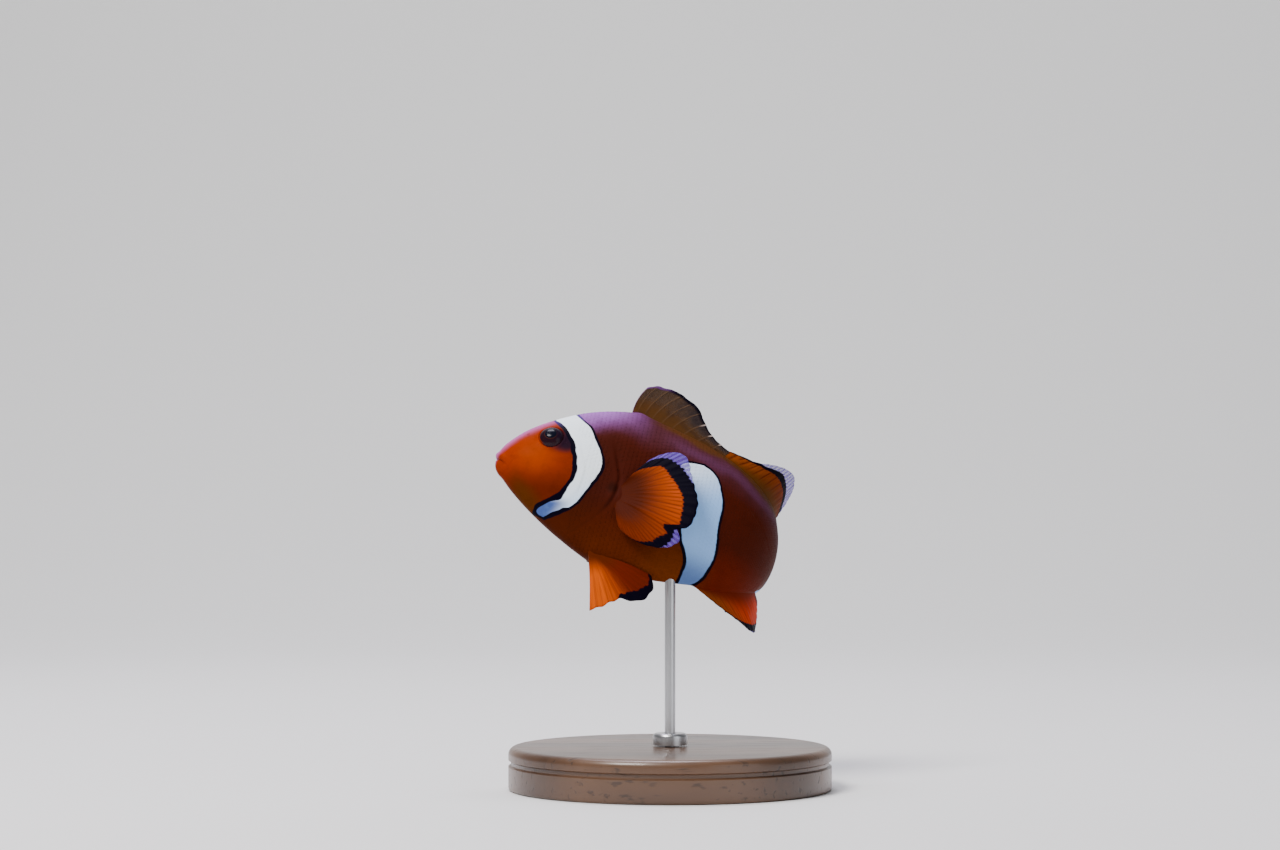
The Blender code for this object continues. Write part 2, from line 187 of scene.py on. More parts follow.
# Where each fin's dark band, and then its see-through rim, begins: (ray, share of the ray's length)
SOFT_DORSAL_BAND = (
    (0.0, 0.93), (0.13, 0.82), (0.19, 0.76), (0.25, 0.67), (0.35, 0.64), (0.41, 0.605), (0.49, 0.55),
    (0.56, 0.52), (0.65, 0.475), (0.73, 0.47), (0.85, 0.56), (1.0, 0.70),
)  # fmt: skip
SOFT_DORSAL_RIM = (
    (0.0, 1.1), (0.125, 1.05), (0.18, 0.94), (0.25, 0.80), (0.38, 0.80), (0.47, 0.71), (0.56, 0.64),
    (0.65, 0.61), (0.73, 0.63), (0.85, 0.85), (1.0, 1.0),
)  # fmt: skip
ANAL_BAND = (
    (0.0, 0.88), (0.12, 0.92), (0.28, 0.94), (0.34, 0.92), (0.40, 0.87), (0.50, 0.81), (0.60, 0.81),
    (0.66, 0.84), (0.72, 0.90), (0.80, 0.94), (1.0, 0.94),
)  # fmt: skip
ANAL_RIM = ((0.0, 1.1), (0.40, 1.05), (0.50, 0.985), (0.60, 0.985), (0.70, 0.96), (0.80, 0.95), (1.0, 0.95))
CAUDAL_BAND = ((0.0, 0.90), (0.15, 0.80), (0.5, 0.74), (0.85, 0.80), (1.0, 0.90))
CAUDAL_RIM = ((0.0, 0.97), (0.15, 0.91), (0.5, 0.89), (0.85, 0.91), (1.0, 0.97))
PECTORAL_BAND = (
    (0.0, 1.0), (0.15, 0.97), (0.22, 0.915), (0.27, 0.865), (0.32, 0.80), (0.365, 0.81), (0.39, 0.745),
    (0.42, 0.85), (0.44, 0.885), (0.49, 0.84), (0.58, 0.82), (0.65, 0.80), (0.71, 0.762), (0.755, 0.724),
    (0.80, 0.685), (0.86, 0.645), (0.91, 0.55), (1.0, 0.50),
)  # fmt: skip
PECTORAL_RIM = (
    (0.0, 1.1), (0.22, 1.1), (0.29, 0.985), (0.345, 0.93), (0.38, 0.90), (0.41, 0.96), (0.44, 1.1),
    (0.66, 1.1), (0.70, 0.99), (0.75, 0.945), (0.79, 0.905), (0.82, 0.86), (0.86, 0.828), (0.92, 0.83),
    (1.0, 0.87),
)  # fmt: skip
PELVIC_BAND = (
    (0.0, 0.96), (0.03, 1.15), (0.35, 1.15), (0.39, 1.0), (0.45, 0.91), (0.52, 0.85), (0.60, 0.82),
    (0.70, 0.84), (0.80, 0.88), (0.90, 0.92), (1.0, 0.94),
)  # fmt: skip
PELVIC_RIM = ((0.0, 1.2), (1.0, 1.2))

# Features of the skin, as (place along, up), and the mouth's slit, which falls back from the snout
NOSTRIL = (0.078, 0.068)
PECTORAL_FOOT = (0.352, -0.052)
MOUTH_START = -0.008
MOUTH_SLOPE = 0.55

# The gill cover's hind edge, as (up, place along)
GILL_EDGE = (
    (-0.190, 0.215), (-0.150, 0.268), (-0.110, 0.305), (-0.060, 0.331), (-0.010, 0.337),
    (0.045, 0.320), (0.090, 0.300), (0.120, 0.285),
)  # fmt: skip

# The white bars. Each edge is (up, place along): black begins at the outer ones, white at the inner.
HEAD_BAR = {
    "front_outer": (
        (-0.150, 0.190), (-0.142, 0.174), (-0.137, 0.156), (-0.128, 0.143), (-0.117, 0.143),
        (-0.104, 0.158), (-0.091, 0.177), (-0.078, 0.193), (-0.060, 0.204), (-0.035, 0.212),
        (-0.010, 0.215), (0.015, 0.210), (0.045, 0.198), (0.070, 0.187), (0.097, 0.165),
        (0.120, 0.142), (0.145, 0.126), (0.190, 0.114),
    ),
    "front_inner": (
        (-0.145, 0.190), (-0.137, 0.172), (-0.132, 0.159), (-0.123, 0.153), (-0.112, 0.166),
        (-0.099, 0.184), (-0.094, 0.203), (-0.078, 0.211), (-0.050, 0.219), (-0.027, 0.226),
        (-0.005, 0.228), (0.015, 0.222), (0.045, 0.212), (0.070, 0.202), (0.097, 0.180),
        (0.120, 0.159), (0.135, 0.139), (0.190, 0.132),
    ),
    "rear_inner": (
        (-0.145, 0.150), (-0.137, 0.174), (-0.127, 0.191), (-0.118, 0.208), (-0.110, 0.217),
        (-0.105, 0.232), (-0.093, 0.243), (-0.075, 0.254), (-0.045, 0.266), (-0.018, 0.277),
        (0.007, 0.285), (0.036, 0.282), (0.062, 0.271), (0.089, 0.254), (0.109, 0.241),
        (0.132, 0.222), (0.149, 0.200), (0.190, 0.168),
    ),
    "rear_outer": (
        (-0.150, 0.160), (-0.141, 0.186), (-0.136, 0.200), (-0.127, 0.214), (-0.118, 0.226),
        (-0.108, 0.240), (-0.095, 0.251), (-0.075, 0.262), (-0.045, 0.274), (-0.018, 0.286),
        (0.010, 0.294), (0.036, 0.290), (0.062, 0.278), (0.089, 0.262), (0.109, 0.249),
        (0.132, 0.231), (0.149, 0.209), (0.190, 0.178),
    ),
}  # fmt: skip
MIDDLE_BAR = {
    "front_outer": (
        (-0.240, 0.554), (-0.200, 0.556), (-0.177, 0.556), (-0.150, 0.551), (-0.125, 0.538),
        (-0.108, 0.528), (-0.050, 0.512), (0.000, 0.499), (0.050, 0.485), (0.088, 0.480),
        (0.105, 0.488), (0.114, 0.510), (0.119, 0.540), (0.130, 0.580),
    ),
    "front_inner": (
        (-0.240, 0.566), (-0.200, 0.564), (-0.177, 0.565), (-0.150, 0.560), (-0.125, 0.547),
        (-0.108, 0.537), (-0.050, 0.520), (0.000, 0.507), (0.050, 0.493), (0.085, 0.488),
        (0.101, 0.495), (0.108, 0.512), (0.113, 0.540), (0.125, 0.580),
    ),
    "rear_inner": (
        (-0.240, 0.574), (-0.210, 0.590), (-0.195, 0.601), (-0.179, 0.614), (-0.157, 0.620),
        (-0.123, 0.623), (-0.086, 0.619), (-0.050, 0.611), (-0.016, 0.607), (0.015, 0.607),
        (0.050, 0.600), (0.082, 0.586), (0.104, 0.570), (0.113, 0.545), (0.125, 0.500),
    ),
    "rear_outer": (
        (-0.240, 0.588), (-0.210, 0.602), (-0.195, 0.613), (-0.179, 0.623), (-0.157, 0.628),
        (-0.123, 0.630), (-0.086, 0.626), (-0.050, 0.618), (-0.016, 0.614), (0.015, 0.614),
        (0.050, 0.606), (0.084, 0.592), (0.108, 0.575), (0.119, 0.548), (0.130, 0.500),
    ),
}  # fmt: skip
TAIL_BAR = {
    "front_outer": ((-0.110, 0.893), (-0.050, 0.882), (0.050, 0.880), (0.110, 0.890)),
    "front_inner": ((-0.110, 0.902), (-0.050, 0.892), (0.050, 0.890), (0.110, 0.900)),
    "rear_inner": ((-0.110, 0.966), (-0.050, 0.980), (0.050, 0.981), (0.110, 0.968)),
    "rear_outer": ((-0.110, 0.976), (-0.050, 0.991), (0.050, 0.992), (0.110, 0.978)),
}
CURVE_SPAN = (-0.25, 0.25)  # the range of up that the bars' curves cover
SHARE = (0.0, 1.0)  # the range of a place along the body, or of a ray across a fin
BAR_SOFTNESS = 0.0014  # half the width over which a bar's edge fades

# The camera: its lens in millimetres, and how far right of and above the fish's anchor it stands
LENS = 106.1
CAMERA_OFFSET = (0.0005, 0.0131)

# Rows of scales, in widths of a scale: how far apart they lie, and how long and wide each scale is
FIRST_ROW = 0.165
LAST_ROW = 0.985
ROW_STEP = 0.92
SCALE_LENGTH = 1.50
SCALE_HALF_WIDTH = 0.535
HALF_SPLIT = 0.56  # the place along where the front half of the scales ends

# Where scales grow: behind a place along, which is further forward on the nape, but not in the gill
# slit, which has a reach up and one across the gill cover's edge, nor near the eye and the pectoral fin
SCALED_FROM = 0.232
NAPE_SCALED_FROM = 0.195
NAPE_HEIGHT = 0.09
SLIT_REACH_UP = (-0.185, 0.115)
SLIT_REACH_ACROSS = (-0.024, 0.006)
BARE_ROUND_EYE = 0.06
BARE_ROUND_PECTORAL = 0.030

# Small measures of the stand, in metres
BASE_RIM = 0.0014
BASE_FOOT = 0.0006
GROOVE_UNDER_TOP = 0.0030
GROOVE_HALF_WIDTH = 0.0006
COLLAR_INNER_RADIUS = 0.00102
COLLAR_WALL = 0.0005
COLLAR_RIM = 0.0007
COLLAR_INNER_RIM = 0.0002

SIDES = ((1, "left"), (-1, "right"))
BODY_NODES = ("head", "lower_jaw", "gill_cover_left", "gill_cover_right", "trunk", "tail", "tail_stalk")


# ---- shape of the body ----


def smooth_curve(points):
    """A function through points (x, y) that rises and falls only where they do."""
    x = np.array([point[0] for point in points], float)
    y = np.array([point[1] for point in points], float)
    rise = np.diff(y) / np.diff(x)
    slope = np.concatenate([rise[:1], (rise[1:] + rise[:-1]) / 2, rise[-1:]])
    slope[1:-1][rise[1:] * rise[:-1] <= 0] = 0.0
    for i, steepest in enumerate(rise):
        for end in (i, i + 1):
            slope[end] = math.copysign(min(abs(slope[end]), 3 * abs(steepest)), slope[end])

    def value(at):
        at = np.clip(np.asarray(at, float), x[0], x[-1])
        i = np.clip(np.searchsorted(x, at) - 1, 0, len(rise) - 1)
        width = x[i + 1] - x[i]
        t = (at - x[i]) / width
        start = y[i] * (2 * t**3 - 3 * t**2 + 1) + slope[i] * width * (t**3 - 2 * t**2 + t)
        return start + y[i + 1] * (3 * t**2 - 2 * t**3) + slope[i + 1] * width * (t**3 - t**2)

    return value


def from_snout(place):
    """The root of the distance from the snout: over it, a blunt snout is a smooth curve."""
    return np.sqrt(np.maximum(np.asarray(place, float) - SNOUT, 0.0))


BACK, BELLY, HALF_WIDTH = (
    smooth_curve([(from_snout(station[0]), station[column]) for station in BODY_STATIONS])
    for column in (1, 2, 3)
)
GILL_PLACE = smooth_curve(GILL_EDGE)


def spine():
    """Places along the axis, the axis's way there in the plane of the bend, and its heading."""
    place = np.linspace(-0.2, 1.5, 1701)
    tail = np.clip((place - TAIL_BEND_START) / (1 - TAIL_BEND_START), 0, 1)
    head = np.clip((HEAD_BEND_END - place) / HEAD_BEND_END, 0, 1)
    tail_fin = np.clip((place - 1) / CAUDAL_LENGTH, 0, 1)
    heading = TAIL_BEND * tail**TAIL_BEND_POWER - HEAD_BEND * head**HEAD_BEND_POWER
    heading -= TAIL_FIN_RETURN * tail_fin
    step = place[1] - place[0]
    along = np.cumsum(np.cos(heading)) * step
    left = -np.cumsum(np.sin(heading)) * step
    along -= np.interp(ANCHOR, place, along)
    left -= np.interp(ANCHOR, place, left)
    return place, along, left, heading


SPINE = spine()
TURN = np.array(
    Matrix.Rotation(PITCH, 3, "Y") @ Matrix.Rotation(-YAW, 3, "Z") @ Matrix.Rotation(-BANK, 3, "X")
)


def turned(along, left, up):
    """The fish's own directions, in body lengths, as world ones in metres. Left is -Y."""
    return np.stack([along, -np.asarray(left), up], axis=-1) @ TURN.T * BODY_LENGTH


def bent(along, left, up):
    """Points of the straight frame in the world's directions, measured from the anchor."""
    along, left, up = np.broadcast_arrays(np.asarray(along, float), left, up)
    place, way_along, way_left, heading = SPINE
    angle = np.interp(along, place, heading)
    on_along = np.interp(along, place, way_along) + left * np.sin(angle)
    on_left = np.interp(along, place, way_left) + left * np.cos(angle)
    return turned(on_along, on_left, up)


FOOT = bent(ROD_PLACE, 0.0, BELLY(from_snout(ROD_PLACE)))
SHIFT = np.array([-FOOT[0], -FOOT[1], AXIS_HEIGHT])


def posed(along, left, up):
    """World places, in metres, of points given in the straight frame."""
    return bent(along, left, up) + SHIFT


def directions(place):
    """World directions, one body length long, of back, left and up at a place along the axis."""
    angle = np.interp(place, SPINE[0], SPINE[3])
    back = turned(math.cos(angle), -math.sin(angle), 0.0)
    left = turned(math.sin(angle), math.cos(angle), 0.0)
    return back, left, turned(0.0, 0.0, 1.0)


def ease(value, low, high):
    """Rises smoothly from 0 at low to 1 at high."""
    t = np.clip((value - low) / (high - low), 0, 1)
    return t * t * (3 - 2 * t)


def swell(distance, width):
    """1 at no distance, falling away over a width."""
    return np.exp(-((distance / width) ** 2))


def bare_body(root, angle, depth):
    """A point a depth under the body's outer surface, without relief. root is from_snout of its place."""
    root = np.abs(root)
    place = SNOUT + root**2
    closing = np.sqrt(1 - np.clip((place - TAIL_ROUNDING[0]) / np.ptp(TAIL_ROUNDING), 0, 1) ** 2)
    shrink = 1 - depth / HALF_WIDTH(from_snout(WIDEST_PLACE))
    back, belly = BACK(root), BELLY(root)
    left = HALF_WIDTH(root) * shrink * np.cos(angle) * (1 - RIDGE * np.sin(angle) ** 2)
    up = (back - belly) / 2 * (1 - depth / GREATEST_HALF_HEIGHT) * np.sin(angle)
    return np.stack([place, left * closing, (back + belly) / 2 + up * closing], axis=-1)


def eye_axes():
    """Directions of the left eye in the straight frame: rearwards across it, up across it, and out."""
    forward, upward = EYE_FORWARD, EYE_UPWARD
    across = np.array((math.cos(forward), math.sin(forward), 0.0))
    up = np.array((
        math.sin(forward) * math.sin(upward), -math.cos(forward) * math.sin(upward), math.cos(upward),
    ))  # fmt: skip
    out = np.array((
        -math.sin(forward) * math.cos(upward), math.cos(forward) * math.cos(upward), math.sin(upward),
    ))  # fmt: skip
    return across, up, out


def relief(points, sizes):
    """How far the skin stands out from the plain body, in body lengths, at points of the straight frame."""
    along, left, up = points.T
    side = np.abs(left)

    # The mouth: a slit between two lips, and the fold behind its corner
    off = up - (MOUTH_START - MOUTH_SLOPE * (along - SNOUT))
    ahead = 1 - ease(along, 0.028, 0.047)
    lip = 1.1 * swell(off - 0.0135, 0.0085) + 0.9 * swell(off + 0.0200, 0.0120)
    found = ahead * (sizes.lip_height * lip - sizes.mouth_depth * swell(off, 0.0030))
    found -= 0.0024 * (1 - ease(along, 0.008, 0.032))
    corner = np.hypot(along - 0.052 - 0.35 * (up + 0.03), (up + 0.030) * 0.35)
    found -= 0.0016 * swell(corner, 0.0055)

    # Nostrils
    nostril = np.hypot(along - NOSTRIL[0], up - NOSTRIL[1])
    found += 0.0007 * swell(nostril - 0.0060, 0.0030) - 0.0045 * swell(nostril, 0.0030)

    # Eye sockets, with a raised rim and a low brow
    reach = np.stack([along, side, up], axis=-1) - EYE_PLACE
    out = eye_axes()[2]
    from_eye = np.linalg.norm(reach - np.outer(reach @ out, out), axis=-1)
    outside = ease(side, 0.015, 0.03)
    socket = 1 - ease(from_eye, EYE_RADIUS - 0.0060, EYE_RADIUS - 0.0010)
    found += outside * (0.0012 * swell(from_eye - EYE_RADIUS - 0.001, 0.0050) - 0.016 * socket)
    found += outside * 0.0015 * swell(from_eye, 0.065)

    # Gill cover: it rises to its hind edge, and the skin behind lies lower
    behind = along - GILL_PLACE(up)
    height = (0.25 + 0.75 * ease(up, -0.11, -0.055)) * ease(up, -0.185, -0.14) * (1 - ease(up, 0.04, 0.10))
    step = ease(behind, -0.0040, 0.0036)
    cover = (1 - step) * np.exp(np.minimum(behind, 0) / 0.05)
    cover -= 1.1 * step * np.exp(-np.maximum(behind, 0) / 0.013)
    found += sizes.gill_step * height * cover
    inner_edge = behind + 0.088 + 0.10 * np.maximum(up, 0)
    found += 0.0009 * height * (swell(inner_edge + 0.006, 0.006) - swell(inner_edge - 0.002, 0.0035))

    # Fleshy feet of the fins
    foot = np.hypot(along - PECTORAL_FOOT[0], up - PECTORAL_FOOT[1])
    found += 0.007 * swell(foot, 0.032) * ease(side, 0.04, 0.07)
    foot = np.hypot(along - PELVIC_ROOT[0], side - PELVIC_ROOT[1])
    found += 0.005 * swell(foot, 0.022) * ease(-up, 0.15, 0.19)
    ridge_top = ease(along, 0.325, 0.36) * (1 - ease(along, 0.87, 0.90)) * ease(up, 0.06, 0.09)
    ridge_low = ease(along, 0.60, 0.64) * (1 - ease(along, 0.83, 0.87)) * ease(-up, 0.06, 0.09)
    found += sizes.fin_ridge * (ridge_top + ridge_low) * swell(side, 0.011)

    # The side line, arched along the back
    side_line = up - (0.135 - 0.16 * np.clip((along - 0.40) / 0.4, 0, 1) ** 2)
    found -= 0.0007 * swell(side_line, 0.0030) * ease(along, 0.32, 0.36) * (1 - ease(along, 0.78, 0.82))
    return found


def skin_surface(root, angle, sizes):
    """Points of the skin in the straight frame, and its outward directions there."""
    depth = sizes.coat_depth / BODY_LENGTH
    step = 1e-3
    here = bare_body(root, angle, depth)
    onward = bare_body(root + step, angle, depth) - bare_body(root - step, angle, depth)
    around = bare_body(root, angle + step, depth) - bare_body(root, angle - step, depth)
    normal = np.cross(onward, around)
    length = np.linalg.norm(normal, axis=-1, keepdims=True)
    tip = (length < 1e-12)[:, 0]
    normal = normal / np.maximum(length, 1e-12)
    normal[tip] = np.where(here[tip, :1] < 0.5, (-1.0, 0.0, 0.0), (1.0, 0.0, 0.0))
    middle = (BACK(np.abs(root)) + BELLY(np.abs(root))) / 2
    from_axis = here[:, 1] * normal[:, 1] + (here[:, 2] - middle) * normal[:, 2]
    normal = normal * np.where(from_axis < 0, -1.0, 1.0)[:, None]
    return here + normal * relief(here, sizes)[:, None], normal


# ---- making pieces ----


def coordinates(shape):
    """The x, y and z of a bmesh's vertices, as three arrays."""
    return np.array([vertex.co for vertex in shape.verts], float).T


def slab(columns, rows):
    """A closed flat slab: x and y from -1 to 1, and z 0 on one face and 1 on the other."""
    shape = bmesh.new()
    bmesh.ops.create_grid(shape, x_segments=columns, y_segments=rows, size=1.0)
    raised = bmesh.ops.extrude_face_region(shape, geom=shape.faces[:], use_keep_orig=True)["geom"]
    raised = [part for part in raised if isinstance(part, bmesh.types.BMVert)]
    bmesh.ops.translate(shape, vec=(0, 0, 1), verts=raised)
    return shape


def add_piece(mesh, look, replaced=(), marks=None):
    """Makes a mesh a piece that rides on the root body, with marks as vector attributes of its points."""
    for name, values in (marks or {}).items():
        attribute = mesh.attributes.new(name, "FLOAT_VECTOR", "POINT")
        attribute.data.foreach_set("vector", np.ascontiguousarray(values, np.float32).ravel())
    mesh.shade_smooth()
    mesh.materials.append(look)
    piece = bpy.data.objects.new(mesh.name, mesh)
    bpy.context.scene.collection.objects.link(piece)
    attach(piece, "root")
    if replaced:
        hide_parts(*replaced)


def mesh_of(name, shape, points=None):
    """The mesh of a bmesh, its vertices moved to the given points and its faces turned outwards."""
    if points is not None:
        for vertex, point in zip(shape.verts, points):
            vertex.co = point
    bmesh.ops.recalc_face_normals(shape, faces=shape.faces)
    mesh = bpy.data.meshes.new(name)
    shape.to_mesh(mesh)
    shape.free()
    return mesh


def add_map(mesh, corners):
    """Gives a mesh its bake map, from the u and v of each face corner."""
    layer = mesh.uv_layers.new(name="OFBake")
    layer.uv.foreach_set("vector", np.ascontiguousarray(corners, np.float32).ravel())


def corner_facts(mesh):
    """For each face corner of a mesh, its vertex and its face."""
    vertex = np.empty(len(mesh.loops), np.int32)
    mesh.loops.foreach_get("vertex_index", vertex)
    sizes = np.empty(len(mesh.polygons), np.int32)
    mesh.polygons.foreach_get("loop_total", sizes)
    return vertex, np.repeat(np.arange(len(sizes)), sizes)


def unwrapped(place, angle):
    """Where a place and an angle round the body lie on the skin's map."""
    return np.stack([0.01 + 0.98 * (angle / (2 * math.pi) + 0.5), 0.01 + 0.96 * place], axis=-1)


# ---- materials ----


class Wire:
    """An output socket in a material's node tree. Arithmetic on it adds Math nodes."""

    def __init__(self, tree, socket=None):
        self.tree = tree
        self.socket = socket

    def node(self, kind, settings, inputs, output=0):
        """Adds a node from its type, its settings, its sockets' values or wires, and the output wanted."""
        made = self.tree.nodes.new("ShaderNode" + kind)
        for name, value in settings.items():
            if name == "points":
                set_points(made.mapping, value)
            else:
                setattr(made, name, value)
        for key, value in inputs.items():
            if isinstance(value, Wire):
                self.tree.links.new(value.socket, made.inputs[key])
            elif made.inputs[key].type == "RGBA":
                made.inputs[key].default_value = (*value, 1.0)
            else:
                made.inputs[key].default_value = value
        return Wire(self.tree, made.outputs[output])

    def math(self, operation, *values):
        return self.node("Math", {"operation": operation}, dict(enumerate(values)))

    def fraction(self):
        """What is left of the value over its last whole number."""
        return self.math("FRACT", self)

    def __add__(self, other):
        return self.math("ADD", self, other)

    def __radd__(self, other):
        return self.math("ADD", other, self)

    def __sub__(self, other):
        return self.math("SUBTRACT", self, other)

    def __rsub__(self, other):
        return self.math("SUBTRACT", other, self)

    def __mul__(self, other):
        return self.math("MULTIPLY", self, other)

    def __rmul__(self, other):
        return self.math("MULTIPLY", other, self)

    def __truediv__(self, other):
        return self.math("DIVIDE", self, other)

    def __rtruediv__(self, other):
        return self.math("DIVIDE", other, self)

    def __abs__(self):
        return self.math("ABSOLUTE", self)


def set_points(mapping, points):
    """Gives a curve node its points (x, y), with level ends past the first and the last."""
    curve = mapping.curves[0]
    mapping.extend = "HORIZONTAL"
    while len(curve.points) < len(points):
        curve.points.new(1.0, 1.0)
    for point, place in zip(curve.points, points):
        point.location = place
        point.handle_type = "AUTO_CLAMPED"
    mapping.update()


def smooth(value, low, high):
    """A wire that rises smoothly from 0 where value is low to 1 where it is high."""
    wire = value if isinstance(value, Wire) else low
    inputs = {"Value": value, "From Min": low, "From Max": high}
    return wire.node("MapRange", {"interpolation_type": "SMOOTHSTEP"}, inputs)


def along_curve(value, points, span, height=1.0):
    """A wire that follows points (x, y), for x over a span and y from 0 to a height."""
    low, high = span
    scaled = [((x - low) / (high - low), y / height) for x, y in points]
    found = value.node("FloatCurve", {"points": scaled}, {"Value": (value - low) / (high - low)})
    return found if height == 1.0 else found * height


def mix(factor, first, second):
    """A colour wire from first, where factor is 0, to second, where it is 1."""
    wire = next(value for value in (factor, first, second) if isinstance(value, Wire))
    return wire.node("Mix", {"data_type": "RGBA"}, {0: factor, 6: first, 7: second}, 2)


def noise(vector, scale, detail=2.0, roughness=0.5):
    """A wire of noise from 0 to 1 over a vector wire."""
    inputs = {"Vector": vector, "Scale": scale, "Detail": detail, "Roughness": roughness}
    return vector.node("TexNoise", {}, inputs)


def stretched(vector, factors):
    """A vector wire with each of its three numbers multiplied by a factor."""
    return vector.node("VectorMath", {"operation": "MULTIPLY"}, {0: vector, 1: factors})


def attribute(start, name):
    """The vector attribute of a piece, and its three numbers."""
    vector = start.node("Attribute", {"attribute_name": name}, {}, 1)
    return vector, [start.node("SeparateXYZ", {}, {0: vector}, i) for i in range(3)]


def bumped(height, depth):
    """A wire of normals for a height from 0 to 1 that stands for a depth in metres."""
    return height.node("Bump", {}, {"Strength": 1.0, "Distance": depth, "Height": height})


def new_look(name, fixed):
    """A material, a wire to start its nodes from, and a function that links wires to its shader."""
    look = bpy.data.materials.new(name)
    look.use_nodes = True
    shader = look.node_tree.nodes["Principled BSDF"]
    for socket, value in fixed.items():
        shader.inputs[socket].default_value = value

    def feed(socket, wire):
        look.node_tree.links.new(wire.socket, shader.inputs[socket])

    return look, Wire(look.node_tree), feed


def bar_masks(place, up):
    """Masks of the three bars' white, of the white and its black edges, and of all behind the head bar."""
    masks = {"inner": 0.0, "outer": 0.0}
    for bar in (HEAD_BAR, MIDDLE_BAR, TAIL_BAR):
        lines = {name: along_curve(up, points, CURVE_SPAN) for name, points in bar.items()}
        if bar is HEAD_BAR:
            behind = smooth(place - lines["rear_inner"], -0.012, 0.008)
        for rim in masks:
            ahead = smooth(place - lines["front_" + rim], -BAR_SOFTNESS, BAR_SOFTNESS)
            mask = ahead * smooth(place - lines["rear_" + rim], BAR_SOFTNESS, -BAR_SOFTNESS)
            masks[rim] = place.math("MAXIMUM", masks[rim], mask)
    return masks["inner"], masks["outer"], behind


def layered(colour, *layers):
    """A colour wire with layers (mask, colour) laid over it, one after the other."""
    for mask, over in layers:
        colour = mix(mask, colour, over)
    return colour


def near(start, place, up, centre, radii):
    """A wire that is 1 within the first radius of a spot on the side of the body, and 0 past the second."""
    x, y = place - centre[0], up - centre[1]
    return smooth(start.math("SQRT", x * x + y * y), radii[1], radii[0])


def skin_colour(start, ink):
    """The fish's markings, with painted shade and sheen, over its straight frame: that frame's vector, the
    colour, and the bars' mask.
    """
    fish, (place, _, up) = attribute(start, "fish")
    broad = noise(fish, 9.0, 3.0)
    blotch = noise(fish, 34.0, 4.0, 0.6)
    fine = noise(fish, 75.0, 3.0, 0.6)
    wavy_up = up + (broad - 0.5) * 0.05
    under_back = along_curve(place, [(x, high) for x, high, _, _ in BODY_STATIONS], SHARE, 0.25) - wavy_up
    over_belly = wavy_up + along_curve(place, [(x, -low) for x, _, low, _ in BODY_STATIONS], SHARE, 0.25)
    wander = (noise(fish, 40.0, 2.0) - 0.5) * 0.007
    white, edged, behind = bar_masks(place + wander, up + (noise(fish, 27.0, 1.0) - 0.5) * 0.006)

    # Trunk and tail: maroon above, olive and warm brown below, and a painted lilac sheen, the light from
    # above, on the nape and along the back
    low = mix(smooth(place, 0.40, 0.53), ink.belly, ink.belly_hind)
    flank = mix(smooth(wavy_up + (place - 0.35) * 0.1, -0.04, -0.19), ink.flank, low)
    hind = mix(smooth(wavy_up, -0.05, -0.16), ink.hind, ink.hind_belly)
    band = smooth(place, 0.40, 0.52) * smooth(place, 0.86, 0.70) * smooth(abs(under_back - 0.04), 0.03, 0.0)
    fin_foot = smooth(under_back, 0.020, 0.006) * smooth(place, 0.36, 0.46) * smooth(place, 0.90, 0.82)
    trunk = layered(
        mix(smooth(place, 0.56, 0.66), flank, hind),
        # the back's maroon, its purple tint partly a painted sheen
        (smooth(under_back, 0.115, 0.035) * 0.85, ink.back),
        # painted lilac sheen of the light from above: a faint band along the back, and the nape
        (band * 0.07, ink.nape),
        (smooth(under_back, 0.095, 0.006) * smooth(place, 0.41, 0.25) * 0.9, ink.nape),
        (fin_foot * 0.8, ink.fin_foot),
        (smooth(place, 0.40, 0.24) * smooth(under_back, 0.07, 0.13) * 0.45, ink.dark),
    )

    # Face: bright above, ochre at the throat, with painted shade low on the cheek, by the bar and round the
    # eye, and a painted rose sheen along the brow
    face = layered(
        mix(near(start, place, up, (0.115, 0.005), (0.010, 0.075)) * 0.55, ink.face, ink.face_bright),
        # painted shade low on the cheek
        (smooth(up - place * 0.10, -0.015, -0.095), ink.face_shade),
        (smooth(over_belly, 0.060, 0.012) * smooth(place, 0.045, 0.105), ink.throat),
        # painted shade by the head bar
        (smooth(place, 0.120, 0.215) * 0.55, ink.face_shade),
        (smooth(place, 0.022, 0.004) * 0.45, ink.lip),
        # painted rose sheen of the light from above along the snout and brow
        (smooth(under_back, 0.048, 0.004) * 0.85, ink.brow),
        # painted shadow round the eye and between it and the head bar
        (near(start, place, up, (0.164, 0.070), (0.020, 0.050)) * 0.80, ink.eye_dark_and_shadow),
        (near(start, place, up, (0.186, 0.066), (0.014, 0.042)) * 0.94, ink.eye_dark_and_shadow),
    )

    # Bars: white above, with painted blue shade towards their lower ends, and black edges with a painted
    # violet sheen near the back
    # painted shade: the head bar's lower end and the middle bar's low part turn grey-blue
    head_bar_end_shade = smooth(place - up * 0.4, 0.290, 0.228) * smooth(up, -0.080, -0.105)
    middle_bar_end_shade = smooth(up, -0.10, -0.19) * smooth(place, 0.40, 0.50) * 0.8
    pale = layered(
        ink.bar,
        # painted blue shade lower down the bars
        (smooth(up - (place - 0.25) * 0.6, 0.00, -0.20), ink.bar_low_shade),
        (start.math("MAXIMUM", head_bar_end_shade, middle_bar_end_shade), ink.bar_end_shade),
        (smooth(fine, 0.45, 0.75) * 0.06, ink.bar_low_shade),
    )
    # painted violet sheen on the black edges near the back
    edge = mix(smooth(under_back, 0.06, 0.01) * 0.75, ink.edge, ink.edge_painted_sheen)

    # All together, with the gill cover's dark corner and the mottling of the skin
    colour = layered(
        mix(behind, face, trunk),
        (near(start, place, up, (0.328, -0.030), (0.004, 0.022)) * 0.8, ink.dark),
        (smooth(blotch, 0.45, 0.75) * 0.16 + (fine - 0.5) * 0.20 + 0.03, ink.dark),
        (edged, edge),
        (white, pale),
    )
    return fish, colour, white


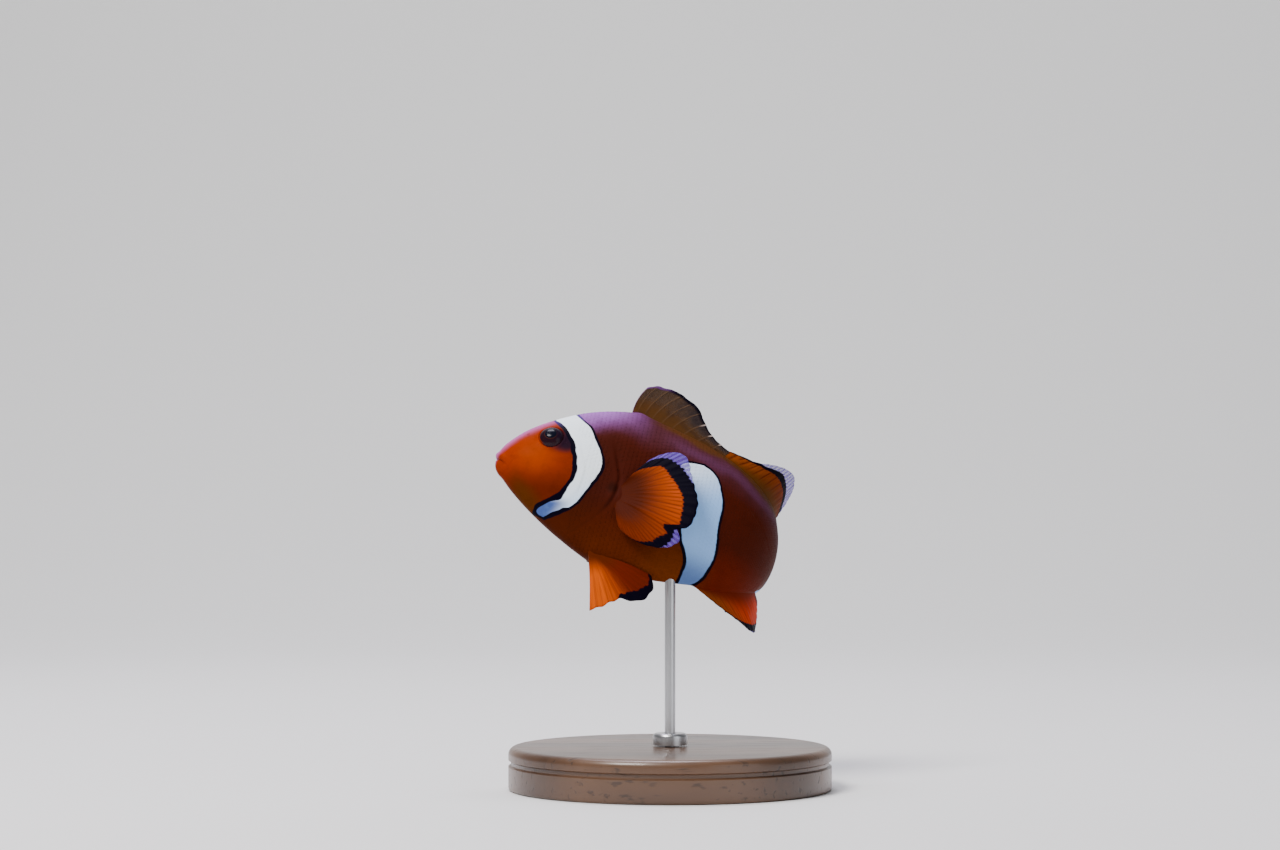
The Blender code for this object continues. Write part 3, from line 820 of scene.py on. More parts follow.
def skin_look(ink):
    look, start, feed = new_look("fish skin", {"IOR": 1.07})
    fish, colour, white = skin_colour(start, ink)
    grain = noise(fish, 260.0, 3.0, 0.6)
    feed("Base Color", colour)
    feed("Roughness", 0.34 + grain * 0.16 + white * 0.05)
    feed("Normal", bumped(grain, 0.000010))
    return look


def scale_look(ink):
    look, start, feed = new_look("fish scales", {"IOR": 1.07})
    fish, colour, white = skin_colour(start, ink)
    _, (chance, lie, _) = attribute(start, "scale")
    rim = smooth(lie, 0.70, 1.0) * 0.16 + (chance - 0.5) * 0.10
    colour = mix(rim * (1 - white * 0.85), colour, ink.dark)
    growth = (lie * 9.0).fraction()
    feed("Base Color", colour)
    feed("Roughness", 0.42 + chance * 0.10 + white * 0.05)
    feed("Normal", bumped(growth * 0.4 + noise(fish, 240.0) * 0.6, 0.000010))
    return look


def ray_cells(start, count):
    """Over a fin: its vector, which ray, how far out along it, and how far off the nearest ray's middle."""
    fin, (ray, reach, _) = attribute(start, "fin")
    return fin, ray, reach, abs((ray * (count - 1.0) + 0.5).fraction() - 0.5)


def fin_bump(fin, across, along):
    """Normals for the fine wrinkles of a fin's skin."""
    return bumped(noise(stretched(fin, (across, along, 0.0)), 1.0, 2.0), 0.00002)


def fin_look(name, ink, count, band, rim, tints, streaks=0.7, haze=0.60, veil=0.0, foot=(0.02, 0.62)):
    """An orange fin's material. Its tints are at the root, and further out on the first and last rays.

    band and rim tell where the dark band and the see-through rim begin, as (ray, share of its length).
    streaks is the strength of the brown between the rays, partly painted as shade in the creases, haze how
    see-through the rim is, and veil how dark the last rays are. foot tells where the root's tint starts and
    stops fading.
    """
    look, start, feed = new_look(name, {"IOR": 1.09})
    fin, ray, reach, across = ray_cells(start, count)
    line = smooth(abs(across - smooth(reach, FORK_START, FORK_END) * FORK_SPREAD), 0.19, 0.05)
    # the creases between and along the rays, whose brown is partly painted shade
    crease_shade = smooth(across, 0.33, 0.49) + smooth(across, 0.11, 0.0) * smooth(reach, 0.50, 0.70)
    rough = noise(stretched(fin, (90.0, 3.0, 4.0)), 1.0, 2.0)
    ragged = reach + (rough - 0.5) * 0.035 + (line - 0.5) * 0.014
    starts = [along_curve(ray, points, SHARE, 1.25) for points in (band, rim)]
    dark, pale = (smooth(ragged - start_at, -0.012, 0.012) for start_at in starts)
    outer = mix(smooth(ray + (rough - 0.5) * 0.1, 0.15, 0.65), tints[1], tints[2])
    colour = layered(
        mix(smooth(reach + (rough - 0.5) * 0.16, foot[0], foot[1]), tints[0], outer),
        # brown of the creases, partly painted shade
        (crease_shade * smooth(reach, 0.10, 0.40) * (0.35 + rough) * streaks, ink.fin_line),
        (smooth(rough, 0.42, 0.80) * 0.30, ink.fin_line),
        (smooth(ray, 0.86, 0.97) * smooth(reach, 0.10, 0.50) * veil, ink.eye_dark_and_shadow),
        (dark, ink.edge),
        (pale, mix(line * 0.06, ink.lilac, ink.bar)),
    )
    thin = smooth(reach, 0.45, 0.95) * (1 - line) * 0.06
    feed("Base Color", colour)
    feed("Roughness", 0.42 + rough * 0.14)
    feed("Alpha", 1 - thin * (1 - dark) - pale * (1 - line * 0.45) * haze)
    feed("Normal", fin_bump(fin, 60.0, 55.0))
    return look


def spiny_look(ink, count):
    """The spiny dorsal fin: brown skin, golden at its foot, between fine spines, with a dark rim."""
    look, start, feed = new_look("spiny fin", {"IOR": 1.09})
    fin, ray, reach, across = ray_cells(start, count)
    spine_mask = smooth(across, 0.080, 0.020)
    cloud = noise(stretched(fin, (14.0, 5.0, 5.0)), 1.0, 3.0)
    drift = (cloud - 0.5) * 0.3
    before_last = smooth(ray, 0.98, 0.95)
    rim = smooth(reach + (cloud - 0.5) * 0.08, 0.88, 0.95)
    rim = rim * (1 - spine_mask * smooth(ray, 0.50, 0.70) * before_last)
    tip = smooth(reach, 0.70, 0.95) * spine_mask * smooth(ray, 0.55, 0.75) * before_last
    colour = layered(
        mix(smooth(reach + drift, 0.15, 0.75), ink.membrane_foot, ink.membrane),
        (smooth(reach, 0.06, -0.02), ink.back),
        (smooth(ray + drift, 0.25, 0.60) * smooth(reach + drift, 0.45, 0.85), ink.membrane_dark),
        (smooth(cloud, 0.45, 0.75) * 0.35, ink.membrane_dark),
        (spine_mask * (0.10 + reach * 0.45), ink.spine),
        (rim, mix(smooth(ray, 0.30, 0.12) * 0.28, ink.edge, ink.nape)),
        (smooth(ray, 0.020, 0.0) * 0.25, ink.nape),
        (tip * 0.8, ink.spine_tip),
    )
    feed("Base Color", colour)
    feed("Roughness", 0.38 + cloud * 0.12)
    feed("Alpha", 1 - (1 - spine_mask) * (1 - rim * 0.7) * smooth(reach, 0.15, 0.6) * 0.12)
    feed("Normal", fin_bump(fin, 50.0, 40.0))
    return look


def eye_look(ink):
    """A slate-black pupil in a faint copper ring, in a near-black iris that turns orange at its border,
    with painted shade to its upper rear.
    """
    look, start, feed = new_look("eye", {"IOR": 1.22})
    eye, (x, y, _) = attribute(start, "eye")
    radius = start.math("SQRT", x * x + y * y)
    turn = start.math("ARCTAN2", y, x)
    streak = noise(start.node("CombineXYZ", {}, {0: turn * 9.0, 1: radius * 3.0, 2: 0.0}), 1.6, 3.0, 0.7)
    flecks = noise(eye, 9.0, 4.0, 0.7)
    # low: the iris's lower front, where its streaks and copper ring show; above and behind, it stays
    # purple-black as painted shade
    low = smooth(y + x * 0.35 + (flecks - 0.5) * 0.3, 0.35, -0.45)
    # painted shade: the iris's orange border darkens towards the upper rear
    border = mix(smooth(x - y * 0.5, 0.25, -0.45) * 0.9 + 0.05, ink.eye_dark_and_shadow, ink.iris)
    ring = smooth(radius, 0.435, 0.455) * smooth(radius, 0.520, 0.480)
    colour = layered(
        mix(smooth(streak, 0.30, 0.75) * low, ink.eye_dark_and_shadow, ink.iris_dark),
        (smooth(radius + (flecks - 0.5) * 0.06, 0.82, 0.92), border),
        (ring * (0.10 + low * 0.35), ink.copper),
        (smooth(radius, 0.455, 0.435), ink.pupil),
    )
    feed("Base Color", colour)
    feed("Roughness", 0.16 + smooth(radius, 0.80, 0.95) * 0.25)
    feed("Normal", bumped(streak, 0.00001))
    return look


def object_place(start):
    """The object coordinates, in metres."""
    return start.node("TexCoord", {}, {}, 3)


def wood_look(stand):
    look, start, feed = new_look("walnut", {"IOR": 1.5, "Coat Weight": 0.35, "Coat Roughness": 0.18})
    place = object_place(start)
    bend = noise(stretched(place, (16.0, 26.0, 26.0)), 1.0, 2.0)
    y, z = (start.node("SeparateXYZ", {}, {0: place}, axis) for axis in (1, 2))
    rings = start.math("SINE", y * 330.0 + z * 90.0 + bend * 7.0) * 0.5 + 0.5
    grain = noise(stretched(place, (14.0, 120.0, 60.0)), 4.0, 5.0, 0.65)
    pores = smooth(noise(stretched(place, (90.0, 1500.0, 900.0)), 1.0, 2.0), 0.58, 0.72)
    colour = mix(rings * 0.55 + grain * 0.45, stand.wood_dark, stand.wood_light)
    colour = mix(pores * 0.55, colour, stand.wood_pore)
    feed("Base Color", colour)
    feed("Roughness", 0.34 + grain * 0.15 + pores * 0.12)
    feed("Normal", bumped(1 - pores * 0.8 + grain * 0.2, 0.00004))
    return look


def steel_look(stand):
    look, start, feed = new_look("brushed steel", {"Metallic": 1.0})
    place = object_place(start)
    brushed = noise(stretched(place, (90.0, 90.0, 2600.0)), 1.0, 1.0)
    smear = noise(place, 220.0, 2.0)
    feed("Base Color", mix(smear * 0.5, stand.steel, stand.steel_dull))
    feed("Roughness", 0.26 + brushed * 0.06 + smear * 0.04)
    feed("Normal", bumped(brushed, 0.000002))
    return look


def paper_look(stage):
    look, start, feed = new_look("pale backdrop", {"Roughness": 0.85})
    place = object_place(start)
    feed("Base Color", mix(noise(place, 6.0, 3.0) * 0.3, stage.floor_colour, stage.floor_shade))
    feed("Normal", bumped(noise(place, 900.0, 2.0), 0.00005))
    return look


# ---- settings ----


def number(name, description, default, unit="NONE"):
    return FloatProperty(
        name=name, description=description, default=default, min=0.0, precision=5, unit=unit
    )


def metres(name, description, default):
    return number(name, description, default, unit="LENGTH")


def colour(name, description, default):
    return FloatVectorProperty(
        name=name, description=description, default=default, size=3, min=0.0, max=1.0, subtype="COLOR"
    )


class FishSizes(bpy.types.PropertyGroup):
    coat_depth: metres("Coat depth", "How far the skin lies under the scales' outer surface", 0.00012)
    lip_height: number("Lip height", "How far the lips stand out, in body lengths", 0.0036)
    mouth_depth: number("Mouth depth", "How deep the closed mouth's slit is, in body lengths", 0.0062)
    gill_step: number("Gill step", "Height of the gill cover's hind edge, in body lengths", 0.0042)
    fin_ridge: number("Fin ridge", "Height of the ridge under the back's fins, in body lengths", 0.0090)
    scale_rows: IntProperty(name="Scale rows", description="Rows of scales on each side", default=40, min=4)
    scale_relief: metres("Scale relief", "How far a scale's hind edge stands out", 0.000016)
    membrane: metres("Fin skin", "Thickness of the skin between the rays", 0.00014)
    ray_height: metres("Ray height", "How far the rays stand out on each face of a fin", 0.00006)
    spine_height: metres("Spine height", "How far the dorsal spines stand out on each face", 0.00010)
    root_swelling: metres("Root swelling", "How much thicker each half of a fin is at its root", 0.00030)
    ripple: metres("Ripple", "How far a fin's rim waves out of its surface", 0.00006)


class FishColours(bpy.types.PropertyGroup):
    face: colour("Face", "Bright orange of the face", (0.255, 0.0225, 0.0002))
    face_bright: colour("Bright cheek", "Golden orange of the cheek's middle", (0.32, 0.040, 0.0003))
    # Painted shade: the face's orange deepened low on the cheek and by the head bar
    face_shade: colour("Lower face", "Deeper orange of the cheek's foot", (0.098, 0.0095, 0.0002))
    throat: colour("Throat", "Ochre of the chin and throat", (0.078, 0.0185, 0.0003))
    # Painted sheen: the lilac of the light from above on the nape and back; also the lilac of the spiny
    # fin's front edge
    nape: colour("Nape", "Lilac sheen of the nape and back", (0.36, 0.130, 0.50))
    lip: colour("Lips", "Pinkish lips", (0.42, 0.10, 0.11))
    # Painted sheen: the rose of the light from above along the snout and brow
    brow: colour("Brow", "Rose sheen along the snout and brow", (0.50, 0.140, 0.43))
    flank: colour("Flank", "Maroon-brown of the flank", (0.052, 0.0078, 0.0040))
    # The back's maroon, its purple tint partly a painted sheen of the light from above
    back: colour("Back", "Maroon of the back", (0.068, 0.0180, 0.0265))
    belly: colour("Belly", "Olive-brown of the belly", (0.088, 0.0125, 0.0003))
    belly_hind: colour("Belly's hind part", "The belly before the middle bar", (0.150, 0.0280, 0.0003))
    hind: colour("Hind flank", "Maroon of the tail", (0.060, 0.0080, 0.0028))
    hind_belly: colour("Hind belly", "Warm brown over the anal fin", (0.112, 0.0085, 0.0002))
    fin_foot: colour("Fin foot", "Olive foot of the dorsal fins", (0.080, 0.0300, 0.0050))
    dark: colour("Dark", "Dark brown of scale rims and mottling", (0.018, 0.004, 0.002))
    edge: colour("Edge", "Blue-black edges of the bars and fins", (0.0020, 0.0012, 0.0060))
    # Painted sheen: violet light on the black edges near the back
    edge_painted_sheen: colour("Edge sheen", "Violet sheen of the black edges on the back", (0.085, 0.050, 0.24))
    bar: colour("Bar", "White of the bars", (0.86, 0.94, 1.0))
    # Painted shade: the bars bluer low down, and grey-blue at their lower ends
    bar_low_shade: colour("Bar shade", "Bluish white low on the bars", (0.31, 0.56, 1.0))
    bar_end_shade: colour("Deep bar shade", "Grey-blue of the bars' lower ends", (0.055, 0.095, 0.280))
    lilac: colour("Lilac", "See-through rim of the fins", (0.11, 0.055, 0.42))
    fin: colour("Fin", "Orange of the fins", (0.42, 0.054, 0.0010))
    fin_dull: colour("Dull fin", "Brownish orange of the lower rays", (0.150, 0.0165, 0.0006))
    fin_root: colour("Fin root", "Rusty root of the fins", (0.050, 0.0065, 0.0014))
    fin_bright: colour("Bright fin", "Orange of the pelvic fin's front", (0.56, 0.078, 0.0008))
    fin_ochre: colour("Ochre fin", "First rays of the anal and soft dorsal fins", (0.24, 0.045, 0.0010))
    fin_red: colour("Red fin", "Red-orange of the anal fin", (0.62, 0.034, 0.0006))
    # Brown between the rays, partly painted shade in the creases
    fin_line: colour("Fin line", "Brown between the rays", (0.070, 0.010, 0.002))
    membrane_foot: colour("Membrane's foot", "Golden foot of the spiny fin", (0.066, 0.0270, 0.0080))
    membrane: colour("Membrane", "Olive-brown skin of the spiny fin", (0.046, 0.0225, 0.0110))
    membrane_dark: colour("Dark membrane", "Purplish brown of the spiny fin", (0.018, 0.009, 0.009))
    spine: colour("Spine", "Brownish spines", (0.13, 0.080, 0.050))
    spine_tip: colour("Spine tip", "Pale tips of the hind spines", (0.62, 0.50, 0.46))
    # Purple-black of the iris, and painted shadow round the eye and on the iris's upper rear
    eye_dark_and_shadow: colour("Eye shade", "Purple-black round the eye", (0.010, 0.004, 0.012))
    iris: colour("Iris", "Orange border of the iris", (0.27, 0.028, 0.0006))
    iris_dark: colour("Dark iris", "Rusty streaks of the iris", (0.022, 0.005, 0.004))
    copper: colour("Copper ring", "Thin ring round the pupil", (0.085, 0.024, 0.008))
    pupil: colour("Pupil", "Slate-black of the pupil", (0.0035, 0.0045, 0.0110))


class StandSettings(bpy.types.PropertyGroup):
    wood_dark: colour("Dark grain", "Dark grain of the walnut", (0.035, 0.016, 0.008))
    wood_light: colour("Light grain", "Light grain of the walnut", (0.125, 0.060, 0.028))
    wood_pore: colour("Pores", "Open pores of the walnut", (0.012, 0.006, 0.004))
    steel: colour("Steel", "Brushed steel", (0.62, 0.62, 0.63))
    steel_dull: colour("Dull steel", "Steel where it is smeared", (0.42, 0.43, 0.45))
    groove: metres("Groove", "Depth of the groove turned round the base", 0.0005)


class StageSettings(bpy.types.PropertyGroup):
    floor_colour: colour("Floor", "Pale floor and backdrop", (0.80, 0.80, 0.80))
    floor_shade: colour("Floor shade", "Soft clouds on the floor", (0.70, 0.70, 0.71))
    camera_distance: metres("Camera distance", "From the camera to the middle of the fish", 0.70)
    key_power: number("Key", "Main soft light, in watts", 9.0)
    fill_power: number("Fill", "Light from the right, in watts", 1.2)
    top_power: number("Top", "Lilac light from above, in watts", 2.6)
    backdrop_power: number("Backdrop", "Light on the backdrop, in watts", 7.0)
    sky: number("Surround", "Strength of the light all round", 0.16)


# ---- pieces ----


class FISH_OT_skin(bpy.types.Operator):
    """Models the skin of head, trunk and tail in one piece"""

    bl_idname = "fish.skin"
    bl_label = "Skin"

    around = 216
    rings = 300

    def execute(self, context):
        scene = context.scene
        shape = bmesh.new()
        bmesh.ops.create_uvsphere(shape, u_segments=self.around, v_segments=self.rings, radius=1.0)
        x, y, z = coordinates(shape)
        root = from_snout(TAIL_ROUNDING[1]) * np.arccos(np.clip(z, -1, 1)) / math.pi
        angle = np.arctan2(y, x)
        points, _ = skin_surface(root, angle, scene.fish_sizes)
        mesh = mesh_of("skin", shape, posed(*points.T))
        vertex, face = corner_facts(mesh)
        middle_x = np.bincount(face, x[vertex])
        middle_y = np.bincount(face, y[vertex])
        middle = np.arctan2(middle_y, middle_x)[face]
        on_pole = np.hypot(x, y)[vertex] < 1e-6
        turn = (angle[vertex] - middle + math.pi) % (2 * math.pi) - math.pi
        turn[on_pole] = 0.0
        add_map(mesh, unwrapped(points[vertex, 0], middle + turn))
        add_piece(mesh, skin_look(scene.fish_colours), BODY_NODES, {"fish": points})
        return {"FINISHED"}


def scale_template():
    """One scale: x across from -1 to 1, y from its buried root 0 to its hind edge 1, z its height."""
    shape = bmesh.new()
    bmesh.ops.create_grid(shape, x_segments=6, y_segments=6, size=1.0)
    across = (-1.0, -0.88, -0.45, 0.0, 0.45, 0.88, 1.0)
    lies = (0.0, 0.30, 0.55, 0.76, 0.91, 1.0, 1.0)
    for vertex in shape.verts:
        column, row = round((vertex.co.x + 1) * 3), round((vertex.co.y + 1) * 3)
        x, lie = across[column], lies[row]
        width = 0.10 + 0.90 * math.sqrt(1 - max(0.0, (lie - 0.5) / 0.5) ** 2.2)
        buried = column in (0, 6) or row == 6
        vertex.co = (x * width, lie, -0.8 if buried else -0.8 + 1.8 * lie * (1 - 0.2 * x * x))
    shape.verts.index_update()
    return shape


def scale_places(rows):
    """The place, angle, length and half width of each scale of one side, in rows from the back down."""
    found = []
    place = FIRST_ROW
    odd = False
    sweep = np.linspace(math.pi / 2, -math.pi / 2, 181)
    while place < LAST_ROW:
        ring = bare_body(np.full(len(sweep), from_snout(place)), sweep, 0.0)[:, 1:]
        way = np.concatenate([[0], np.cumsum(np.linalg.norm(np.diff(ring, axis=0), axis=1))])
        width = way[-1] / rows
        for row in range(1, rows - 1):
            reach = (row + (0.5 if odd else 0.0)) * width
            angle = np.interp(reach, way, sweep)
            per_length = (np.interp(reach + 0.01, way, sweep) - np.interp(reach - 0.01, way, sweep)) / 0.02
            found.append((place, angle, width * SCALE_LENGTH, per_length * width * SCALE_HALF_WIDTH))
        place += width * ROW_STEP
        odd = not odd
    return np.array(found)


def scaled_over(places, sizes):
    """Keeps the scales that grow on scaled skin: not on the face, round the eye or in the gill slit."""
    points, _ = skin_surface(from_snout(places[:, 0]), places[:, 1], sizes)
    along, _, up = points.T
    from_eye = np.hypot(along - EYE_PLACE[0], up - EYE_PLACE[2])
    behind = along - GILL_PLACE(up)
    in_slit = (up > SLIT_REACH_UP[0]) & (up < SLIT_REACH_UP[1])
    in_slit &= (behind > SLIT_REACH_ACROSS[0]) & (behind < SLIT_REACH_ACROSS[1])
    at_fin = np.hypot(along - PECTORAL_ROOT[0], up - PECTORAL_ROOT[2]) < BARE_ROUND_PECTORAL
    scaled = (along > SCALED_FROM) | ((up > NAPE_HEIGHT) & (along > NAPE_SCALED_FROM))
    return places[scaled & ~in_slit & ~at_fin & (from_eye > BARE_ROUND_EYE)]


class FISH_OT_scales(bpy.types.Operator):
    """Lays small scales over the skin, row by row, on each side"""

    bl_idname = "fish.scales"
    bl_label = "Scales"

    def execute(self, context):
        scene = context.scene
        sizes = scene.fish_sizes
        look = scale_look(scene.fish_colours)
        template = scale_template()
        x, y, z = coordinates(template)
        corners = np.array([[vertex.index for vertex in face.verts] for face in template.faces])
        template.free()
        places = scaled_over(scale_places(sizes.scale_rows), sizes)
        in_front = places[:, 0] < HALF_SPLIT
        halves = {"front": places[in_front], "hind": places[~in_front]}
        random = np.random.default_rng(7)
        for (side, word), half in product(SIDES, halves):
            place, angle, length, half_width = (column[:, None] for column in halves[half].T)
            count = len(place)
            lie = place + (y - 0.55) * length
            turn = angle + x * half_width
            if side < 0:
                turn = math.pi - turn
            points, normals = skin_surface(from_snout(lie).ravel(), turn.ravel(), sizes)
            heights = np.tile(z, count) * sizes.scale_relief / BODY_LENGTH
            chance = random.random(count)
            tilt = 1 + 0.35 * (np.repeat(chance, len(z)) - 0.5)
            points = points + normals * (heights * tilt)[:, None]
            faces = (corners[None] + (np.arange(count) * len(z))[:, None, None]).reshape(-1, 4)
            mesh = bpy.data.meshes.new("scales_" + word + "_" + half)
            mesh.from_pydata(posed(*points.T), [], faces if side < 0 else faces[:, ::-1])
            marks = np.stack([np.repeat(chance, len(z)), np.tile(y, count), np.tile(x, count)], axis=-1)
            home = angle[:, 0] if side > 0 else math.pi - angle[:, 0]
            home = (home + math.pi) % (2 * math.pi) - math.pi
            patch = np.repeat(unwrapped(place[:, 0], home), len(z), axis=0)
            patch += 0.0015 * np.stack([np.tile(x, count), np.tile(y * 2 - 1, count)], axis=-1)
            add_map(mesh, patch[corner_facts(mesh)[0]])
            add_piece(mesh, look, (), {"fish": points, "scale": marks})
        return {"FINISHED"}


class FISH_OT_eyes(bpy.types.Operator):
    """Models both eyes, with a domed pupil in a ringed iris"""

    bl_idname = "fish.eyes"
    bl_label = "Eyes"

    def execute(self, context):
        look = eye_look(context.scene.fish_colours)
        across, up, out = eye_axes()
        for side, word in SIDES:
            shape = bmesh.new()
            bmesh.ops.create_uvsphere(shape, u_segments=72, v_segments=48, radius=1.0)
            x, y, z = coordinates(shape)
            radius = np.hypot(x, y)
            front = ease(z, 0.0, 0.3)
            bulge = front * (0.0012 * (1 - ease(radius, 0.30, 0.60)) - 0.0004 * swell(radius - 0.47, 0.03))
            points = EYE_PLACE + np.outer(x * EYE_RADIUS, across) + np.outer(y * EYE_RADIUS, up)
            points = points + np.outer(z * EYE_HALF_DEPTH + bulge, out)
            mesh = mesh_of("eyeball_" + word, shape, posed(points[:, 0], points[:, 1] * side, points[:, 2]))
            marks = {"eye": np.stack([x, y, z], axis=-1)}
            add_piece(mesh, look, ("eye_" + word,), marks)
        return {"FINISHED"}


def add_fin(name, node, count, rows, way, look, sizes, forked=True, notch=0.012):
    """Makes one fin. way(ray, reach) gives its middle surface, and how long each ray is in body lengths.

    Soft rays fork towards the rim, and the skin between two rays is cut back there by the notch's share.
    """
    shape = slab((count - 1) * COLUMNS_PER_RAY, rows)
    x, y, z = coordinates(shape)
    ray = (x + 1) / 2
    out = (y + 1) / 2 * (1 + FIN_INSIDE) - FIN_INSIDE
    body = np.clip(out, 0, 1)
    across = np.abs((ray * (count - 1) + 0.5) % 1.0 - 0.5)
    reach = out * (1 - notch * np.sin(across * math.pi) ** 2 * body**3)
    small = 1e-3
    points, length = way(ray, reach)
    over_ray = way(ray + small, reach)[0] - way(ray - small, reach)[0]
    over_reach = way(ray, reach + small)[0] - way(ray, reach - small)[0]
    normal = np.cross(over_ray, over_reach)
    normal /= np.maximum(np.linalg.norm(normal, axis=-1, keepdims=True), 1e-15)
    if forked:
        off_middle = across - FORK_SPREAD * ease(body, FORK_START, FORK_END)
        rib = sizes.ray_height * swell(off_middle, RAY_WIDTH)
    else:
        rib = sizes.spine_height * swell(across, SPINE_WIDTH)
    half = sizes.membrane / 2 + sizes.root_swelling * (1 - body) ** 5
    half += rib * ease(body, 0.05, 0.40) * (1 - 0.90 * body)
    half *= 1 - 0.55 * ease(body, 0.96, 1.0)
    ripple = sizes.ripple * np.sin(across * math.pi * 2 + ray * 9) * body**2
    mesh = mesh_of(name, shape, points + normal * ((z * 2 - 1) * half + ripple)[:, None])
    vertex, face = corner_facts(mesh)
    second = (np.bincount(face, z[vertex]) / np.bincount(face) > 0.99)[face]
    u = 0.01 + 0.48 * ray[vertex] + 0.50 * second
    add_map(mesh, np.stack([u, 0.01 + 0.98 * (y[vertex] + 1) / 2], axis=-1))
    marks = np.stack([ray, body, length], axis=-1)
    add_piece(mesh, look, (node,), {"fin": marks})


def middle_way(rays, side, bow=0.0):
    """The middle surface of a fin along the back (side 1) or the belly (side -1)."""
    curves = [smooth_curve(list(enumerate(column))) for column in zip(*rays)]
    edge_of_body = BACK if side > 0 else BELLY

    def way(ray, reach):
        at = np.clip(ray, 0, 1) * (len(rays) - 1)
        root, tip_along, tip_left, tip_up = (curve(at) for curve in curves)
        root = root + (ray - np.clip(ray, 0, 1))
        root_up = edge_of_body(from_snout(root))
        curve = bow * 4 * np.maximum(reach, 0) * (1 - reach)
        along = root + (tip_along - root) * reach - (tip_up - root_up) * curve
        up = root_up + (tip_up - root_up) * reach + (tip_along - root) * curve
        left = tip_left * np.maximum(reach, 0) ** 1.5
        return posed(along, left, up), np.hypot(tip_along - root, tip_up - root_up)

    return way


def caudal_way(ray, reach):
    """The middle surface of the tail fin."""
    across = 1 - 2 * ray
    length = CAUDAL_LENGTH - CAUDAL_ROUNDING * np.abs(across) ** 2.5
    spread = np.maximum(reach, -0.05)
    up = across * (CAUDAL_HALF_ROOT + (CAUDAL_HALF_TIP - CAUDAL_HALF_ROOT) * spread)
    return posed(1.0 + length * reach, 0.0, up), length


def fan_way(root, half_root, edge, axes, side, fold=0.0):
    """The middle surface of a paired fin in the plane of its first two axes.

    The third axis faces the body, the fourth follows the root and the fifth leads on into the flesh, where
    the root is sunk. fold bends the rays below the notch in towards the body.
    """
    length_at = smooth_curve(edge)
    centre = posed(root[0], side * root[1], root[2])
    outward, crossways, inward, along_root, under = axes
    low, high = edge[0][0], edge[-1][0]

    def way(ray, reach):
        angle = low + (high - low) * ray
        turn = np.radians(angle)[:, None]
        length = length_at(angle)
        start = centre + along_root * ((ray * 2 - 1) * half_root)[:, None] + under * ROOT_SUNK
        tip = centre + (outward * np.cos(turn) + crossways * np.sin(turn)) * length[:, None]
        bend = fold * (1 - ease(angle, -24, -16)) * np.clip(reach, 0, 1) ** 2
        cup = FIN_CUP * np.sin(np.clip(reach, 0, 1) * math.pi)
        far, deep = np.maximum(reach, 0)[:, None], np.minimum(reach, 0)[:, None]
        return start + (tip - start) * far - under * deep * 0.2 + inward * (bend - cup)[:, None], length

    return way


class FISH_OT_middle_fins(bpy.types.Operator):
    """Models the two dorsal fins, the anal fin and the tail fin"""

    bl_idname = "fish.middle_fins"
    bl_label = "Fins of back, belly and tail"

    def execute(self, context):
        sizes, ink = context.scene.fish_sizes, context.scene.fish_colours
        way = middle_way(SPINY_DORSAL_RAYS, 1, SPINE_BOW)
        look = spiny_look(ink, SPINE_COUNT)
        add_fin("spiny_fin", "dorsal_fin_spiny", SPINE_COUNT, 30, way, look, sizes, forked=False)

        look = fin_look(
            "soft dorsal fin", ink, SOFT_DORSAL_COUNT, SOFT_DORSAL_BAND, SOFT_DORSAL_RIM,
            (ink.fin_foot, ink.fin_ochre, ink.fin_dull), streaks=0.9,
        )  # fmt: skip
        way = middle_way(SOFT_DORSAL_RAYS, 1)
        add_fin("soft_fin", "dorsal_fin_soft", SOFT_DORSAL_COUNT, 36, way, look, sizes)

        look = fin_look(
            "anal fin", ink, ANAL_COUNT, ANAL_BAND, ANAL_RIM,
            (ink.hind_belly, ink.fin_ochre, ink.fin_red), streaks=0.35, veil=0.9, foot=(0.08, 0.70),
        )  # fmt: skip
        add_fin("belly_fin", "anal_fin", ANAL_COUNT, 36, middle_way(ANAL_RAYS, -1), look, sizes)

        tints = (ink.fin_dull, ink.fin, ink.fin)
        look = fin_look("tail fin", ink, CAUDAL_COUNT, CAUDAL_BAND, CAUDAL_RIM, tints)
        add_fin("tail_fin", "caudal_fin", CAUDAL_COUNT, 44, caudal_way, look, sizes)
        return {"FINISHED"}


